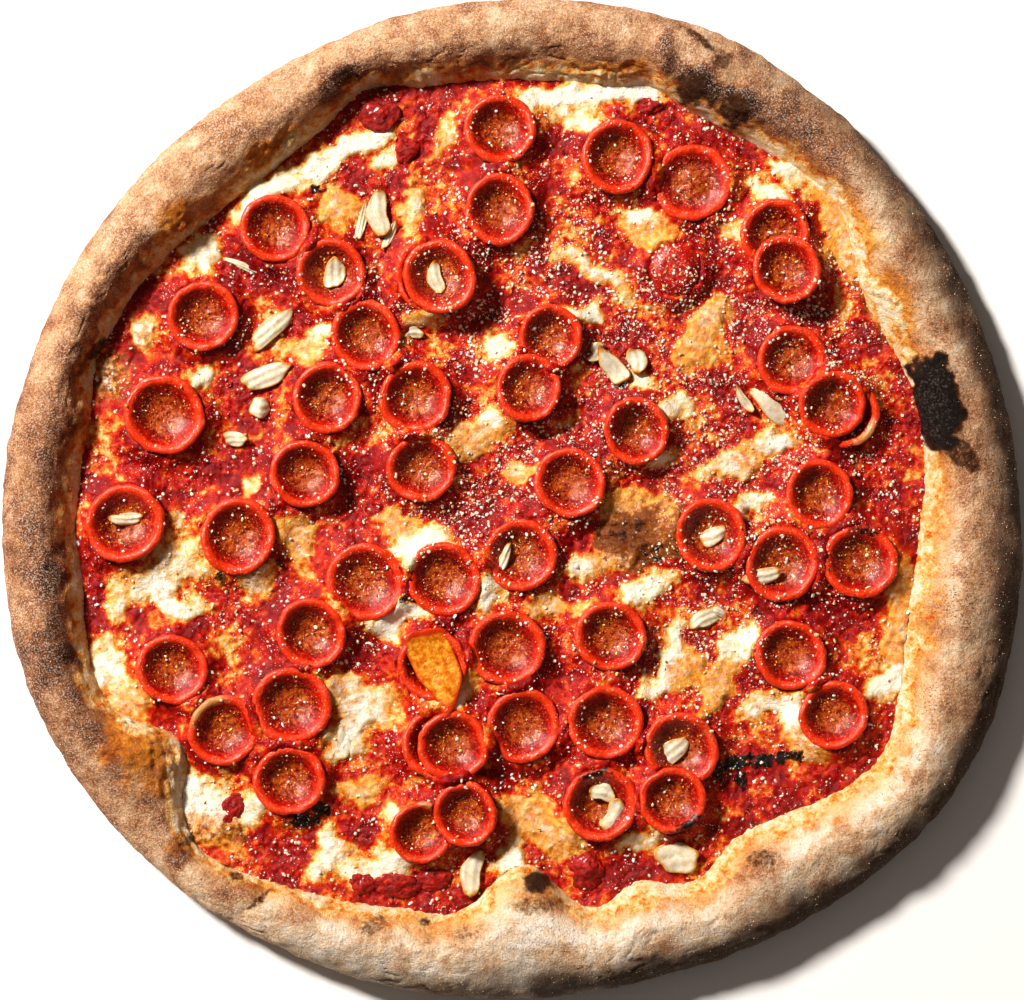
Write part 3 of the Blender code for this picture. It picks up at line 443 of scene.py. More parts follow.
def pebbles(points, span, seed=0):
    """Distance to the nearest of points scattered one to a cell, as a share of the span."""
    cell = points / span
    base = np.floor(cell).astype(np.int64)
    nearest = np.full(len(points), 9.0)
    for offset in itertools.product((-1, 0, 1), repeat=points.shape[1]):
        spot = base + np.array(offset)
        away = np.zeros(len(points))
        for axis in range(points.shape[1]):
            scattered = spot[:, axis] + 0.5 + 0.45 * scrambled(spot, seed * 5 + axis)
            away += (scattered - cell[:, axis]) ** 2
        nearest = np.minimum(nearest, away)
    return np.sqrt(nearest)


def eased(value, low, high):
    """0 below low, 1 above high, and a smooth rise between them. Low may be the larger."""
    share = np.clip((value - low) / (high - low), 0, 1)
    return share * share * (3 - 2 * share)


# Forms that the solids share


def swell(degrees, swells):
    """The sum of the swells round the pizza at each direction from its middle."""
    total = np.zeros_like(degrees, dtype=float)
    for direction, height, spread in swells:
        total += height * MM * np.exp(-0.5 * (turned_from(degrees, direction) / spread) ** 2)
    return total


def oval_reach(places, pixel_x, pixel_y, half_length, half_width, turn):
    """Distance of each place from an oval's middle, as a share of the oval's own radius there."""
    offset = places - from_photo(pixel_x, pixel_y)
    angle = math.radians(turn)
    along = offset[:, 0] * math.cos(angle) + offset[:, 1] * math.sin(angle)
    across = offset[:, 1] * math.cos(angle) - offset[:, 0] * math.sin(angle)
    return np.sqrt((along / (half_length * MM)) ** 2 + (across / (half_width * MM)) ** 2)


def relief(places, bumps):
    """The sum of rounded bumps over each place, each an oval hill that fades out to nothing."""
    total = np.zeros(len(places))
    for *oval, rise in bumps:
        total += rise * MM * np.exp(-(oval_reach(places, *oval) ** 2))
    return total


def marked(places, marks, warp):
    """Strength from 0 to 1 of the strongest mark over each place. The warp makes the outlines ragged."""
    total = np.zeros(len(places))
    for *oval, strength in marks:
        total = np.maximum(total, strength * eased(oval_reach(places, *oval) + warp, 1.25, 0.55))
    return total


def topping_radius(degrees):
    return TOPPING_RADIUS + swell(degrees, TOPPING_SWELLS)


def rim_section(degrees, step):
    """Radius and height of the rim's surface. Step runs from -1 at the edge of the flat underside, through 0
    at the widest line and 1 on the crest, to 2 where the inner wall meets the floor under the toppings."""
    outer = OUTER_RADIUS + swell(degrees, OUTLINE_SWELLS)
    inner = topping_radius(degrees)
    crest = inner + RIM_CREST * (outer - inner)
    top = RIM_HEIGHT + swell(degrees, HEIGHT_SWELLS)
    turn = step * math.pi / 2
    inward = np.clip(step - 1, 0, 1)
    under = outer - RIM_UNDERCUT * (1 - np.cos(turn)), RIM_WIDEST * (1 + np.sin(turn))
    over = crest + (outer - crest) * np.cos(turn), RIM_WIDEST + (top - RIM_WIDEST) * np.sin(turn)
    wall_height = DOUGH_FLOOR + (top - DOUGH_FLOOR) * (1 - inward**INNER_WALL_ROUND)
    wall = crest - (crest - inner) * inward, wall_height
    return [np.where(step <= 0, a, np.where(step <= 1, b, c)) for a, b, c in zip(under, over, wall)]


# Meshes


def new_object(name, data):
    """An object in the scene, with this mesh, lamp or camera."""
    made = bpy.data.objects.new(name, data)
    bpy.context.scene.collection.objects.link(made)
    return made


def add_piece(name, corners, faces, material, attributes=None, smooth=True):
    """A piece from arrays of corners and faces, whose corners carry a number under each attribute's name."""
    mesh = bpy.data.meshes.new(name)
    mesh.from_pydata(corners, [], faces)
    mesh.update()
    for attribute_name, numbers in (attributes or {}).items():
        attribute = mesh.attributes.new(attribute_name, "FLOAT", "POINT")
        attribute.data.foreach_set("value", np.asarray(numbers, np.float32))
    if smooth:
        mesh.shade_smooth()
    mesh.materials.append(material)
    return new_object(name, mesh)


def ring_faces(ring_count, ring_length, first_pole, last_pole):
    """Faces between rings of equal length, and round a pole at either end, as rows of corner numbers."""
    here = np.arange(ring_length)
    following = (here + 1) % ring_length
    faces = []
    for ring in range(ring_count - 1):
        low, high = ring * ring_length, (ring + 1) * ring_length
        faces += np.stack([low + here, low + following, high + following, high + here], 1).tolist()
    pairs = list(zip(here.tolist(), following.tolist()))
    top = (ring_count - 1) * ring_length
    faces += [[first_pole, after, before] for before, after in pairs]
    return faces + [[last_pole, top + before, top + after] for before, after in pairs]


def joined(parts):
    """Several meshes as one: their corners, their faces, and the number that each corner carries."""
    corners, faces, numbers = [], [], []
    start = 0
    for part_corners, part_faces, part_numbers in parts:
        corners.append(part_corners)
        faces += [[start + corner for corner in face] for face in part_faces]
        numbers.append(part_numbers)
        start += len(part_corners)
    return np.vstack(corners), faces, np.concatenate(numbers)


def vertex_places(mesh):
    places = np.empty(len(mesh.vertices) * 3)
    mesh.vertices.foreach_get("co", places)
    return places.reshape(-1, 3)


def mesh_arrays(piece):
    """Corners and faces of a piece's mesh."""
    return vertex_places(piece.data), [list(face.vertices) for face in piece.data.polygons]


def piece_numbers(piece, name):
    """The numbers that a piece's mesh carries under a name."""
    numbers = np.empty(len(piece.data.vertices), np.float32)
    piece.data.attributes[name].data.foreach_get("value", numbers)
    return numbers


def settle(piece, slot, *nodes):
    """Lets a piece ride on the pizza, and stand for the solids that it replaces."""
    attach(piece, "root")
    if nodes:
        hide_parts(*nodes)
    return piece


# Nodes and what they are often put together to


def feed(tree, sockets, values):
    """Links each socket to its value where that is a socket too, or else sets it. A hex text is a colour."""
    for socket, value in zip(sockets, values):
        if isinstance(value, bpy.types.NodeSocket):
            tree.links.new(value, socket)
        elif isinstance(value, str) and value.startswith("#"):
            socket.default_value = linear(value)
        elif value is not None:
            socket.default_value = value


def add_node(tree, word, *inputs, stops=(), **settings):
    """A node of the kind that the word stands for, with its inputs, settings and colour stops: its output."""
    kind, sockets, output, usual = NODE_KINDS[word]
    node = tree.nodes.new(kind)
    for name, value in (usual | settings).items():
        setattr(node, name, value)
    feed(tree, [node.inputs[socket] for socket in sockets], inputs)
    if stops:
        elements = node.color_ramp.elements
        while len(elements) < len(stops):
            elements.new(0.5)
        for element, (place, colour) in zip(elements, stops):
            element.position = place
            element.color = linear(colour)
    return None if output is None else node.outputs[output]


def roughened(tree, place, amount, size_mm, reach, detail=4, roughness=0.6, distortion=0.0):
    """The amount made uneven, up or down by the reach at most, by noise whose lumps have the given size."""
    lumpy = add_node(tree, "noise", place, PER_MM / size_mm, detail, roughness, distortion)
    return add_node(tree, "sum", amount, add_node(tree, "scaled sum", lumpy, 2 * reach, -reach))


def spots(tree, place, size_mm, low, high, detail=2, roughness=0.6):
    """1 in spots of about the given size, 0 between them, from noise that passes from low to high."""
    lumpy = add_node(tree, "noise", place, PER_MM / size_mm, detail, roughness)
    return add_node(tree, "rise", lumpy, low, high)


def tinted(tree, colour, tint, amount, low, high):
    """The colour, turned to the tint as the amount goes from low to high."""
    return add_node(tree, "mix", add_node(tree, "rise", amount, low, high), colour, tint)


def bumped(tree, place, *layers):
    """Bumps from noise, each layer on the last: size in mm, detail, roughness, depth in mm and strength."""
    normal = None
    for size_mm, detail, roughness, depth_mm, strength in layers:
        height = add_node(tree, "noise", place, PER_MM / size_mm, detail, roughness)
        normal = add_node(tree, "bump", height, depth_mm * MM, strength, normal)
    return normal


# Materials


def new_material(name, *numbers):
    """A material: its tree, its surface shader, the object coordinates in metres, and the numbers that its
    meshes carry under the given names."""
    material = bpy.data.materials.new(name)
    material.use_nodes = True
    tree = material.node_tree
    carried = [add_node(tree, "carried", attribute_name=number) for number in numbers]
    return material, tree, tree.nodes["Principled BSDF"], add_node(tree, "place"), carried


def finish_surface(tree, shader, **values):
    """Sets or links a shader's sockets, by their names with underscores for spaces."""
    feed(tree, [shader.inputs[name.replace("_", " ")] for name in values], values.values())


def crust_material():
    """Wheat dough, baked on a hot stone: dry and matt, tan where the heat was even, brown to black on the
    blisters, golden and oily towards the toppings, filmed with cheese there, and dusted with flour. Painted
    shade darkens its outer flank on the side turned from the lamp."""
    names = ("bake", "gold", "flour", "grey", "melt", "painted_shade", "char")
    material, tree, shader, place, carried = new_material("Baked wheat crust", *names)
    bake, gold, flour, grey, melt, painted_shade, char = carried
    bake = roughened(tree, place, bake, 8, 0.45)
    bake = roughened(tree, place, bake, 1.0, 0.325, roughness=0.8)
    tans = [(0.0, "#F8EADA"), (0.2, "#EACAA6"), (0.4, "#D09E72")]
    browns = [(0.58, "#A86E44"), (0.76, "#784626"), (1.0, "#38190A")]
    colour = add_node(tree, "ramp", bake, stops=tans + browns)
    gold = add_node(tree, "product", gold, spots(tree, place, 3.0, 0.2, 0.5, detail=3))
    golds = [(0.05, "#F6BE58"), (0.4, "#E2922A"), (0.7, "#B66216"), (1.0, "#66300E")]
    colour = add_node(tree, "mix", gold, colour, add_node(tree, "ramp", bake, stops=golds))
    dust = add_node(tree, "product", spots(tree, place, 0.6, 0.5, 0.6, detail=1.5), flour)
    colour = add_node(tree, "mix", add_node(tree, "product", dust, 0.55), colour, "#F3E6D8")
    bran = add_node(tree, "product", spots(tree, place, 0.75, 0.58, 0.66, detail=1), grey)
    colour = add_node(tree, "mix", bran, colour, "#5A4A40")
    film = melted_colour(tree, place, add_node(tree, "scaled sum", melt, 0.4, 0.4))
    colour = tinted(tree, colour, film, melt, 0.15, 0.5)
    # Painted shade: the outer flank turned from the lamp is darkened to a dark grey-brown.
    colour = add_node(tree, "mix", add_node(tree, "product", painted_shade, 0.9), colour, "#423026")
    char = roughened(tree, place, char, 2.0, 0.35, detail=5, roughness=0.75)
    colour = tinted(tree, colour, "#4A2811", char, 0.1, 0.5)
    colour = tinted(tree, colour, "#1A110C", char, 0.42, 0.75)
    burnt = add_node(tree, "rise", char, 0.75, 1.0)
    ash = add_node(tree, "product", burnt, spots(tree, place, 0.9, 0.5, 0.68))
    colour = add_node(tree, "mix", add_node(tree, "product", ash, 0.5), colour, "#6F6660")
    oiled = add_node(tree, "sum to 1", gold, add_node(tree, "rise", melt, 0.22, 0.5))
    dry = add_node(tree, "scaled sum", oiled, -0.45, 0.88)
    normal = bumped(tree, place, (0.6, 3, 0.75, 0.75, 1.0), (2.2, 4, 0.65, 1.0, 0.9))
    finish_surface(tree, shader, Base_Color=colour, Normal=normal, Roughness=dry)
    finish_surface(tree, shader, IOR=1.45, Specular_IOR_Level=0.35)
    return material


def melted_colour(tree, place, melt):
    """The colour of cheese and sauce run together, by how much of it is cheese: dark red pulp, then orange
    where fat has run, then golden, then cream."""
    amount = roughened(tree, place, melt, 2.8, 0.575, roughness=0.65, distortion=0.5)
    amount = roughened(tree, place, amount, 0.8, 0.2, detail=2)
    reds = [(0.0, "#8C0301"), (0.16, "#B00B02"), (0.3, "#CE2806"), (0.4, "#DA5A12")]
    creams = [(0.5, "#E69232"), (0.62, "#F0C074"), (0.8, "#FAE4C0"), (1.0, "#FFF8E8")]
    return add_node(tree, "ramp", amount, stops=reds + creams)


def topping_material():
    """Crushed tomato cooked down to a wet red pulp, with mozzarella melted into it: creamy where it is thick,
    orange where its fat has run, golden on its bumps and browned or burnt on the highest ones."""
    names = ("melt", "gold", "brown", "char")
    material, tree, shader, place, carried = new_material("Tomato sauce and melted mozzarella", *names)
    melt, gold, brown, char = carried
    colour = melted_colour(tree, place, melt)
    pulp = spots(tree, place, 1.5, 0.35, 0.6, detail=4, roughness=0.7)
    sauce = add_node(tree, "rise", melt, 0.4, 0.12)
    dark = add_node(tree, "product", sauce, add_node(tree, "scaled sum", pulp, -0.5, 0.5))
    colour = add_node(tree, "mix", dark, colour, "#5E0201")
    gold = add_node(tree, "rise", roughened(tree, place, gold, 3.0, 0.85, roughness=0.65), 0.3, 0.95)
    gold = add_node(tree, "product", gold, add_node(tree, "rise", melt, 0.35, 0.65))
    ambers = [(0.3, "#D26C08"), (0.5, "#EA9420"), (0.65, "#F6BC50")]
    amber = add_node(tree, "ramp", add_node(tree, "noise", place, PER_MM / 2.2, 3, 0.6), stops=ambers)
    colour = add_node(tree, "mix", add_node(tree, "product", gold, 0.9), colour, amber)
    brown = roughened(tree, place, brown, 2.0, 0.8, roughness=0.7)
    colour = tinted(tree, colour, "#8C4A12", brown, 0.28, 0.7)
    colour = tinted(tree, colour, "#35170B", brown, 0.8, 1.15)
    char = roughened(tree, place, char, 1.2, 0.8, roughness=0.75)
    colour = tinted(tree, colour, "#160D09", char, 0.5, 0.85)
    wet = add_node(tree, "scaled sum", add_node(tree, "noise", place, PER_MM / 2.5, 2, 0.6), 0.24, 0.07)
    normal = bumped(tree, place, (0.5, 3, 0.7, 0.35, 0.95), (1.4, 3, 0.6, 0.7, 0.8))
    finish_surface(tree, shader, Base_Color=colour, Normal=normal, Roughness=wet, IOR=1.42)
    let_light_in(tree, shader, 0.12, 1.5, 0.6, 0.3)
    finish_surface(tree, shader, Specular_IOR_Level=0.45)
    return material


def pepperoni_material():
    """Cured sausage cut thin and fried in its own fat: orange-red and waxy at the lip, wet inside and
    darkened to deep red down in the cup with painted shade, browner in the bottom, with paler flecks of fat,
    and a crisp tan or burnt edge here and there."""
    names = ("lip", "depth", "crisp", "char")
    material, tree, shader, place, carried = new_material("Pepperoni fried in its fat", *names)
    lip, depth, crisp, char = carried
    mince = add_node(tree, "noise", place, PER_MM / 1.5, 3, 0.6)
    colour = add_node(tree, "ramp", mince, stops=[(0.3, "#860301"), (0.5, "#AE0A02"), (0.7, "#CC1E04")])
    lip = roughened(tree, place, lip, 2.2, 0.45, detail=3)
    colour = tinted(tree, colour, "#E63A08", lip, 0.35, 1.05)
    # Painted shade: the inner wall is darkened to deep red towards the bottom of the cup.
    deep = add_node(tree, "ramp", mince, stops=[(0.35, "#5C0201"), (0.5, "#880B02"), (0.65, "#B02606")])
    colour = tinted(tree, colour, deep, depth, 0.12, 0.75)
    oil = roughened(tree, place, depth, 1.6, 0.75, roughness=0.7)
    colour = tinted(tree, colour, "#C6640E", oil, 0.8, 1.3)
    fat = add_node(tree, "product", spots(tree, place, 0.7, 0.6, 0.67, roughness=0.5), 0.5)
    colour = add_node(tree, "mix", fat, colour, "#F2A070")
    crisp = roughened(tree, place, crisp, 1.8, 0.5, detail=3)
    colour = tinted(tree, colour, "#C98A4E", crisp, 0.4, 0.75)
    char = roughened(tree, place, char, 1.8, 0.45, detail=3)
    colour = tinted(tree, colour, "#24100A", char, 0.45, 0.75)
    greasy = add_node(tree, "scaled sum", add_node(tree, "noise", place, PER_MM / 1.6, 2, 0.6), 0.26, 0.16)
    normal = bumped(tree, place, (0.45, 2, 0.7, 0.25, 0.9), (1.3, 3, 0.6, 0.45, 0.75))
    beads = bumped(tree, place, (0.8, 2, 0.6, 0.3, 1.0))
    finish_surface(tree, shader, Base_Color=colour, Normal=normal, Roughness=greasy, IOR=1.45)
    finish_surface(tree, shader, Coat_Normal=beads, Coat_Weight=0.5, Coat_IOR=1.5, Coat_Roughness=0.1)
    let_light_in(tree, shader, 0.1, 1.6, 0.4, 0.2)
    finish_surface(tree, shader, Specular_IOR_Level=0.35)
    return material


def let_light_in(tree, shader, weight, red_mm, green_mm, blue_mm):
    """Lets light spread under the surface, each colour so far on average."""
    reach = (red_mm * MM, green_mm * MM, blue_mm * MM)
    finish_surface(tree, shader, Subsurface_Weight=weight, Subsurface_Radius=reach, Subsurface_Scale=1.0)


def garlic_material():
    """Garlic sliced and roasted: waxy and half clear, cream, and yellow to brown along its edges."""
    material, tree, shader, place, (toast,) = new_material("Roasted garlic", "toast")
    toast = roughened(tree, place, toast, 1.8, 0.55, roughness=0.65)
    creams = [(0.0, "#E8DFCC"), (0.25, "#D8C8A6"), (0.5, "#CFA25A")]
    browns = [(0.72, "#BE7A28"), (0.88, "#7E4418"), (1.0, "#3E1E0C")]
    colour = add_node(tree, "ramp", toast, stops=creams + browns)
    normal = bumped(tree, place, (0.9, 3, 0.6, 0.25, 0.8))
    finish_surface(tree, shader, Base_Color=colour, Normal=normal, IOR=1.42, Roughness=0.25)
    let_light_in(tree, shader, 0.45, 2.8, 1.75, 0.98)
    return material


def flap_material():
    """A skin of cheese fried golden in the fat, glossy, redder along its edge."""
    material, tree, shader, place, (toast,) = new_material("Golden fried cheese skin", "toast")
    tone = add_node(tree, "noise", place, PER_MM / 2.0, 4, 0.65)
    colour = add_node(tree, "ramp", tone, stops=[(0.32, "#B84C08"), (0.5, "#DE8416"), (0.66, "#F4B848")])
    colour = tinted(tree, colour, "#C4380A", toast, 0.2, 0.6)
    normal = bumped(tree, place, (0.9, 3, 0.6, 0.35, 0.9))
    finish_surface(tree, shader, Base_Color=colour, Normal=normal, IOR=1.45, Roughness=0.22)
    let_light_in(tree, shader, 0.2, 1.5, 0.75, 0.4)
    return material


def tomato_material():
    """Pieces of peeled tomato roasted on top: glossy deep red flesh with paler fibres."""
    material, tree, shader, place, _ = new_material("Roasted tomato flesh")
    flesh = add_node(tree, "noise", place, PER_MM / 2.6, 4, 0.65, 0.6)
    reds = [(0.3, "#560302"), (0.5, "#9A0C06"), (0.65, "#C4240E"), (0.8, "#E86A40")]
    colour = add_node(tree, "ramp", flesh, stops=reds)
    normal = bumped(tree, place, (1.2, 4, 0.7, 0.7, 1.0))
    finish_surface(tree, shader, Base_Color=colour, Normal=normal, IOR=1.38, Roughness=0.3)
    finish_surface(tree, shader, Coat_Weight=0.4, Coat_Roughness=0.08)
    let_light_in(tree, shader, 0.15, 2, 0.5, 0.25)
    return material


def crumb_material(name, colours, roughness, specular=0.4, waxy=0.0):
    """A small loose thing's material: each crumb takes its own tone from the colours."""
    material, tree, shader, _, (tone,) = new_material(name, "tone")
    colour = add_node(tree, "ramp", tone, stops=colours)
    finish_surface(tree, shader, Base_Color=colour, Roughness=roughness, Specular_IOR_Level=specular)
    let_light_in(tree, shader, waxy, 0.6, 0.5, 0.4)
    return material


# The crust


def make_crust(material):
    """The dough as in the solids, with blisters, wrinkles and grain, what the oven did to each spot, and
    painted shade where it faces away from the lamp.
    """
    around = 900
    steps = np.concatenate([np.linspace(-1, 0, 13)[:-1], np.linspace(0, 1, 42)[:-1], np.linspace(1, 2, 45)])
    degrees, step = np.meshgrid(np.arange(around) * 360 / around, steps)
    degrees, step = degrees.ravel(), step.ravel()
    corners, lean = rim_surface(degrees, step)
    flat = corners[:, :2].copy()
    warp = layered(flat, (0.4, 8, 3), (0.3, 3, 4))
    marks = {kind: marked(flat, ovals, warp) for kind, ovals in RIM_MARKS.items()}
    marks["melt"] = cheese_on_rim(flat, step)
    shown = np.clip((step + 0.5) / 0.5, 0, 1) * np.clip((2 - step) / 0.3, 0, 1)
    corners += lean * (crust_relief(flat, corners, step, marks) * shown)[:, None]
    corners = np.clip(corners, SOLID_BOX[0], SOLID_BOX[1])
    at_poles = {"bake": 0.5, "flour": 0.4}
    numbers = crust_numbers(corners, degrees, step, marks)
    numbers = {name: np.append(values, [at_poles.get(name, 0)] * 2) for name, values in numbers.items()}
    poles = [over_photo(*DOUGH_MIDDLE, 0), over_photo(*DOUGH_MIDDLE, DOUGH_FLOOR)]
    faces = ring_faces(len(steps), around, len(corners), len(corners) + 1)
    piece = add_piece("baked_crust", np.vstack([corners, poles]), faces, material, numbers)
    return settle(piece, "baked_crust", "crust")


def rim_surface(degrees, step):
    """Places on the rim's smooth surface, and the direction square to it at each."""
    near = 0.02
    outward = compass(degrees)
    radius, height = rim_section(degrees, step)
    radius_before, height_before = rim_section(degrees, np.maximum(step - near, -1))
    radius_after, height_after = rim_section(degrees, np.minimum(step + near, 2))
    flat = from_photo(*DOUGH_MIDDLE) + outward * radius[:, None]
    lean = np.column_stack([outward * (height_after - height_before)[:, None], radius_before - radius_after])
    lean /= np.linalg.norm(lean, axis=1)[:, None] + 1e-12
    return np.column_stack([flat, height]), lean


def cheese_on_rim(flat, step):
    """How much cheese is on the rim's inner wall: pools that reach up it, and a ragged film at its foot."""
    pools = cheese_cover(flat)[0] * eased(step, 1.05, 1.5)
    ragged = layered(flat, (0.22, 14, 14), (0.14, 5, 15))
    film = eased(step + ragged, 1.35, 1.8) * (0.72 + 0.5 * lumps(flat, 12 * MM, 16))
    return np.clip(np.maximum(pools, film), 0, 1)


def crust_relief(flat, corners, step, marks):
    """How far the dough stands out of its smooth form: blisters, wrinkles, pits and crackled spots."""
    large = [noise.noise(Vector(spot)) for spot in corners / UNEVENNESS_SPAN]
    bulge = relief(flat, DOUGH_RELIEF) + DOUGH_UNEVENNESS * np.array(large)
    fine = layered(corners, (0.5, 9, 2), (0.34, 4, 5), (0.16, 1.9, 6))
    bulge += MM * (fine - 0.35 * eased(step, 1.3, 0.9))
    wrinkle = np.abs(lumps(corners, 7 * MM, 11))
    bulge -= 0.6 * MM * eased(wrinkle, 0.12, 0.0) * eased(lumps(corners, 30 * MM, 12), -0.1, 0.5)
    bubbles = eased(step, 1.1, 1.5) * eased(lumps(corners, 12 * MM, 17), 0.0, 0.6)
    bulge += bubbles * MM * 0.9 * (1 - pebbles(corners, 3.5 * MM, 18))
    crackle = np.abs(lumps(corners, 3.2 * MM, 8))
    crackled = np.clip(marks["gold"] + marks["char"] + 0.5 * marks["brown"], 0, 1) + marks["gold"]
    return bulge + crackled * MM * (1.1 * crackle - 0.2) + 0.5 * MM * marks["melt"]


def crust_numbers(corners, degrees, step, marks):
    """How baked, floured, golden, grey and burnt each spot of the rim is, from 0 to 1, with painted shade
    where the rim faces away from the lamp.
    """
    inner_side = eased(step, 1.1, 1.7)
    # Painted shade: on the lamp's side of the pizza the crest and inner wall face away from the lamp, so they
    # are made browner and less golden.
    shaded_side = eased(np.cos(np.radians(degrees - 140)), -0.3, 0.7)
    bake = 0.3 + swell(degrees, BAKE_SWELLS) / MM
    bake += 0.08 * eased(step, 0.7, 1.15) * shaded_side + 0.32 * eased(step, 0.3, -0.4)
    bake += 0.5 * marks["brown"] - 0.32 * marks["pale"]
    bake += layered(corners, (0.1, 20, 9), (0.12, 7, 19))
    flour = 0.7 - 0.6 * inner_side - marks["gold"] - 0.8 * marks["char"] + 0.35 * marks["pale"]
    flour += 0.3 * lumps(corners, 14 * MM, 10)
    golden = 0.75 * inner_side * (1 - 0.5 * shaded_side) + 1.3 * marks["gold"]
    # Painted shade: the outer flank on the side turned from the lamp is darkened in the colour.
    away_side = eased(np.cos(np.radians(degrees + 28)), -0.2, 0.75)
    painted_shade = away_side * eased(step, 1.0, 0.35) * (1.1 + 0.5 * lumps(corners, 12 * MM, 20))
    return {
        "bake": np.clip(bake, 0, 1),
        "char": marks["char"],
        "grey": np.clip(0.2 + marks["grey"], 0, 1),
        "gold": np.clip(golden, 0, 1) * (1 - marks["char"]),
        "flour": np.clip(flour, 0, 1),
        "melt": marks["melt"],
        "painted_shade": np.clip(painted_shade, 0, 1),
    }


# The curled slices


@dataclass
class Curl:
    """One slice of pepperoni, curled into a cup by the heat, as in the solids."""

    number: int
    middle: np.ndarray
    radius: float
    height: float
    tilt: float
    tilt_towards: float
    phase: float
    seat: float = SKIN_TOP + SKIN_GAP
    lift: float = 0.0
    flats: list = field(default_factory=list)
    over: list = field(default_factory=list)


def plan_curls():
    """Every slice with its place, its tilt, and what it presses against or lies on."""
    draw = random.Random(7)
    curls = []
    for number, (pixel_x, pixel_y, radius) in enumerate(PEPPERONI, start=1):
        height = CURL_HEIGHT * draw.uniform(0.88, 1.1)
        height = {SHALLOW_SLICE: SHALLOW_HEIGHT, DOMED_SLICE: DOME_HEIGHT}.get(number, height)
        tilt, towards, phase = draw.uniform(0, TILT_LIMIT), draw.uniform(0, 360), draw.uniform(0, 360)
        curl = Curl(number, from_photo(pixel_x, pixel_y), radius * MM, height, tilt, towards, phase)
        for other in curls:
            meet(other, curl)
        curls.append(curl)
    return curls


def meet(first, later):
    """Stacks the later slice on the first where they lie far over each other, or presses both flat."""
    apart = later.middle - first.middle
    distance = float(np.linalg.norm(apart))
    together = first.radius + later.radius
    if distance < STACK_SHARE * together:
        first.over.append(later)
        later.seat = SKIN_TOP + SKIN_GAP + STACK_RISE
        later.tilt = STACK_TILT
        later.tilt_towards = math.degrees(math.atan2(apart[1], apart[0]))
    elif distance < together + PRESS_GAP:
        share = first.radius / together
        towards = apart / distance
        first.flats.append((towards, distance * share - PRESS_GAP / 2))
        later.flats.append((-towards, distance * (1 - share) - PRESS_GAP / 2))
        first.tilt = min(first.tilt, 1)
        later.tilt = min(later.tilt, 1)


def curve_through(points, steps):
    """Points along a smooth line through the given ones, so many to each."""
    points = np.array(points, float)
    points = np.vstack([2 * points[0] - points[1], points, 2 * points[-1] - points[-2]])
    share = np.linspace(0, 1, steps, endpoint=False)[:, None]
    line = []
    for before, first, second, after in zip(points, points[1:], points[2:], points[3:]):
        bend = 2 * before - 5 * first + 4 * second - after
        twist = 3 * (first - second) + after - before
        line.append(0.5 * (2 * first + (second - before) * share + bend * share**2 + twist * share**3))
    return np.vstack([*line, points[-2:-1]])


def curl_profile(curl):
    """Radius and height down a slice's section, how near each point is to the lip, how deep inside the slice
    it lies, and whether it is inside at all."""
    to_each = 3
    section = curve_through(CURL_SECTION, to_each)
    radius, height = section[:, 0] * curl.radius, np.maximum(section[:, 1], 0) * curl.height
    near_lip = eased(section[:, 1], 0.72, 0.96)
    numbered = np.arange(len(section))
    depth = eased(section[:, 1], 0.95, 0.3) * (numbered > LIP_POINT * to_each)
    return radius, height, near_lip, depth, (numbered >= LIP_POINT * to_each).astype(float)


def curl_turn(curl):
    """The rotation that turns a domed slice over and tilts it."""
    over = Euler((math.pi if curl.number == DOMED_SLICE else 0, 0, 0)).to_matrix()
    towards = math.radians(curl.tilt_towards + 90)
    axis = Vector((math.cos(towards), math.sin(towards), 0))
    return np.array(Matrix.Rotation(math.radians(-curl.tilt), 3, axis) @ over)


def curl_reach(curl, degrees, circle):
    """The slice's radius in each direction: a little oval, uneven, and flat where it is pressed."""
    outward = compass(degrees)
    reach = curl.radius * (1 + 0.025 * np.cos(np.radians(2 * degrees + curl.phase)))
    reach *= 0.985 + layered(circle, (0.03, 8, 21), (0.014, 3, 22))
    for towards, distance in curl.flats:
        facing = outward @ towards
        reach = np.where(facing > 0, np.minimum(reach, distance / np.maximum(facing, 1e-6)), reach)
    return reach


def curl_mesh(curl, around=84):
    """Corners, faces and numbers of one slice, wrinkled and in its place."""
    radius, height, near_lip, depth, inside = curl_profile(curl)
    degrees = np.arange(around) * 360 / around
    outward = compass(degrees)
    circle = outward * TYPICAL_RADIUS + curl.middle
    reach = curl_reach(curl, degrees, circle)
    rise = 1 + 0.05 * np.cos(np.radians(3 * degrees + 2 * curl.phase)) + 0.07 * lumps(circle, 6 * MM, 23)
    flat = outward[None] * (radius[:, None] * (reach / curl.radius)[None])[:, :, None]
    corners = np.dstack([flat, height[:, None] * rise[None]]).reshape(-1, 3)
    rough = MM * layered(corners + np.array([*curl.middle, 0]) * 3, (0.24, 3.2, 24), (0.16, 1.6, 25))
    away = np.repeat(outward[None], len(radius), 0).reshape(-1, 2)
    corners[:, :2] += away * (rough * np.repeat(eased(height, 0.5 * MM, 3 * MM), around))[:, None]
    inside = np.repeat(inside, around)
    corners[:, 2] += rough * inside
    floor = height[-1]
    if curl.number == SHALLOW_SLICE:
        hump = np.exp(-((np.linalg.norm(corners[:, :2], axis=1) / HUMP_RADIUS) ** 2))
        corners[:, 2] += HUMP_HEIGHT * hump * inside
        floor += HUMP_HEIGHT
    corners = np.vstack([corners, [[0, 0, 0], [0, 0, floor]]]) @ curl_turn(curl).T
    curl.lift = curl.seat - corners[:, 2].min()
    corners += [*curl.middle, curl.lift]
    for upper in curl.over:
        press_under(corners, upper)
    numbers = {
        "lip": np.append(np.repeat(near_lip, around), [0, 0]),
        "depth": np.append(np.repeat(depth, around), [0, 1]),
        "inside": np.append(inside, [0, 1]),
    }
    numbers |= fried_lip(curl, corners, degrees, numbers["lip"])
    last = len(radius) * around
    return corners, ring_faces(len(radius), around, last, last + 1), numbers


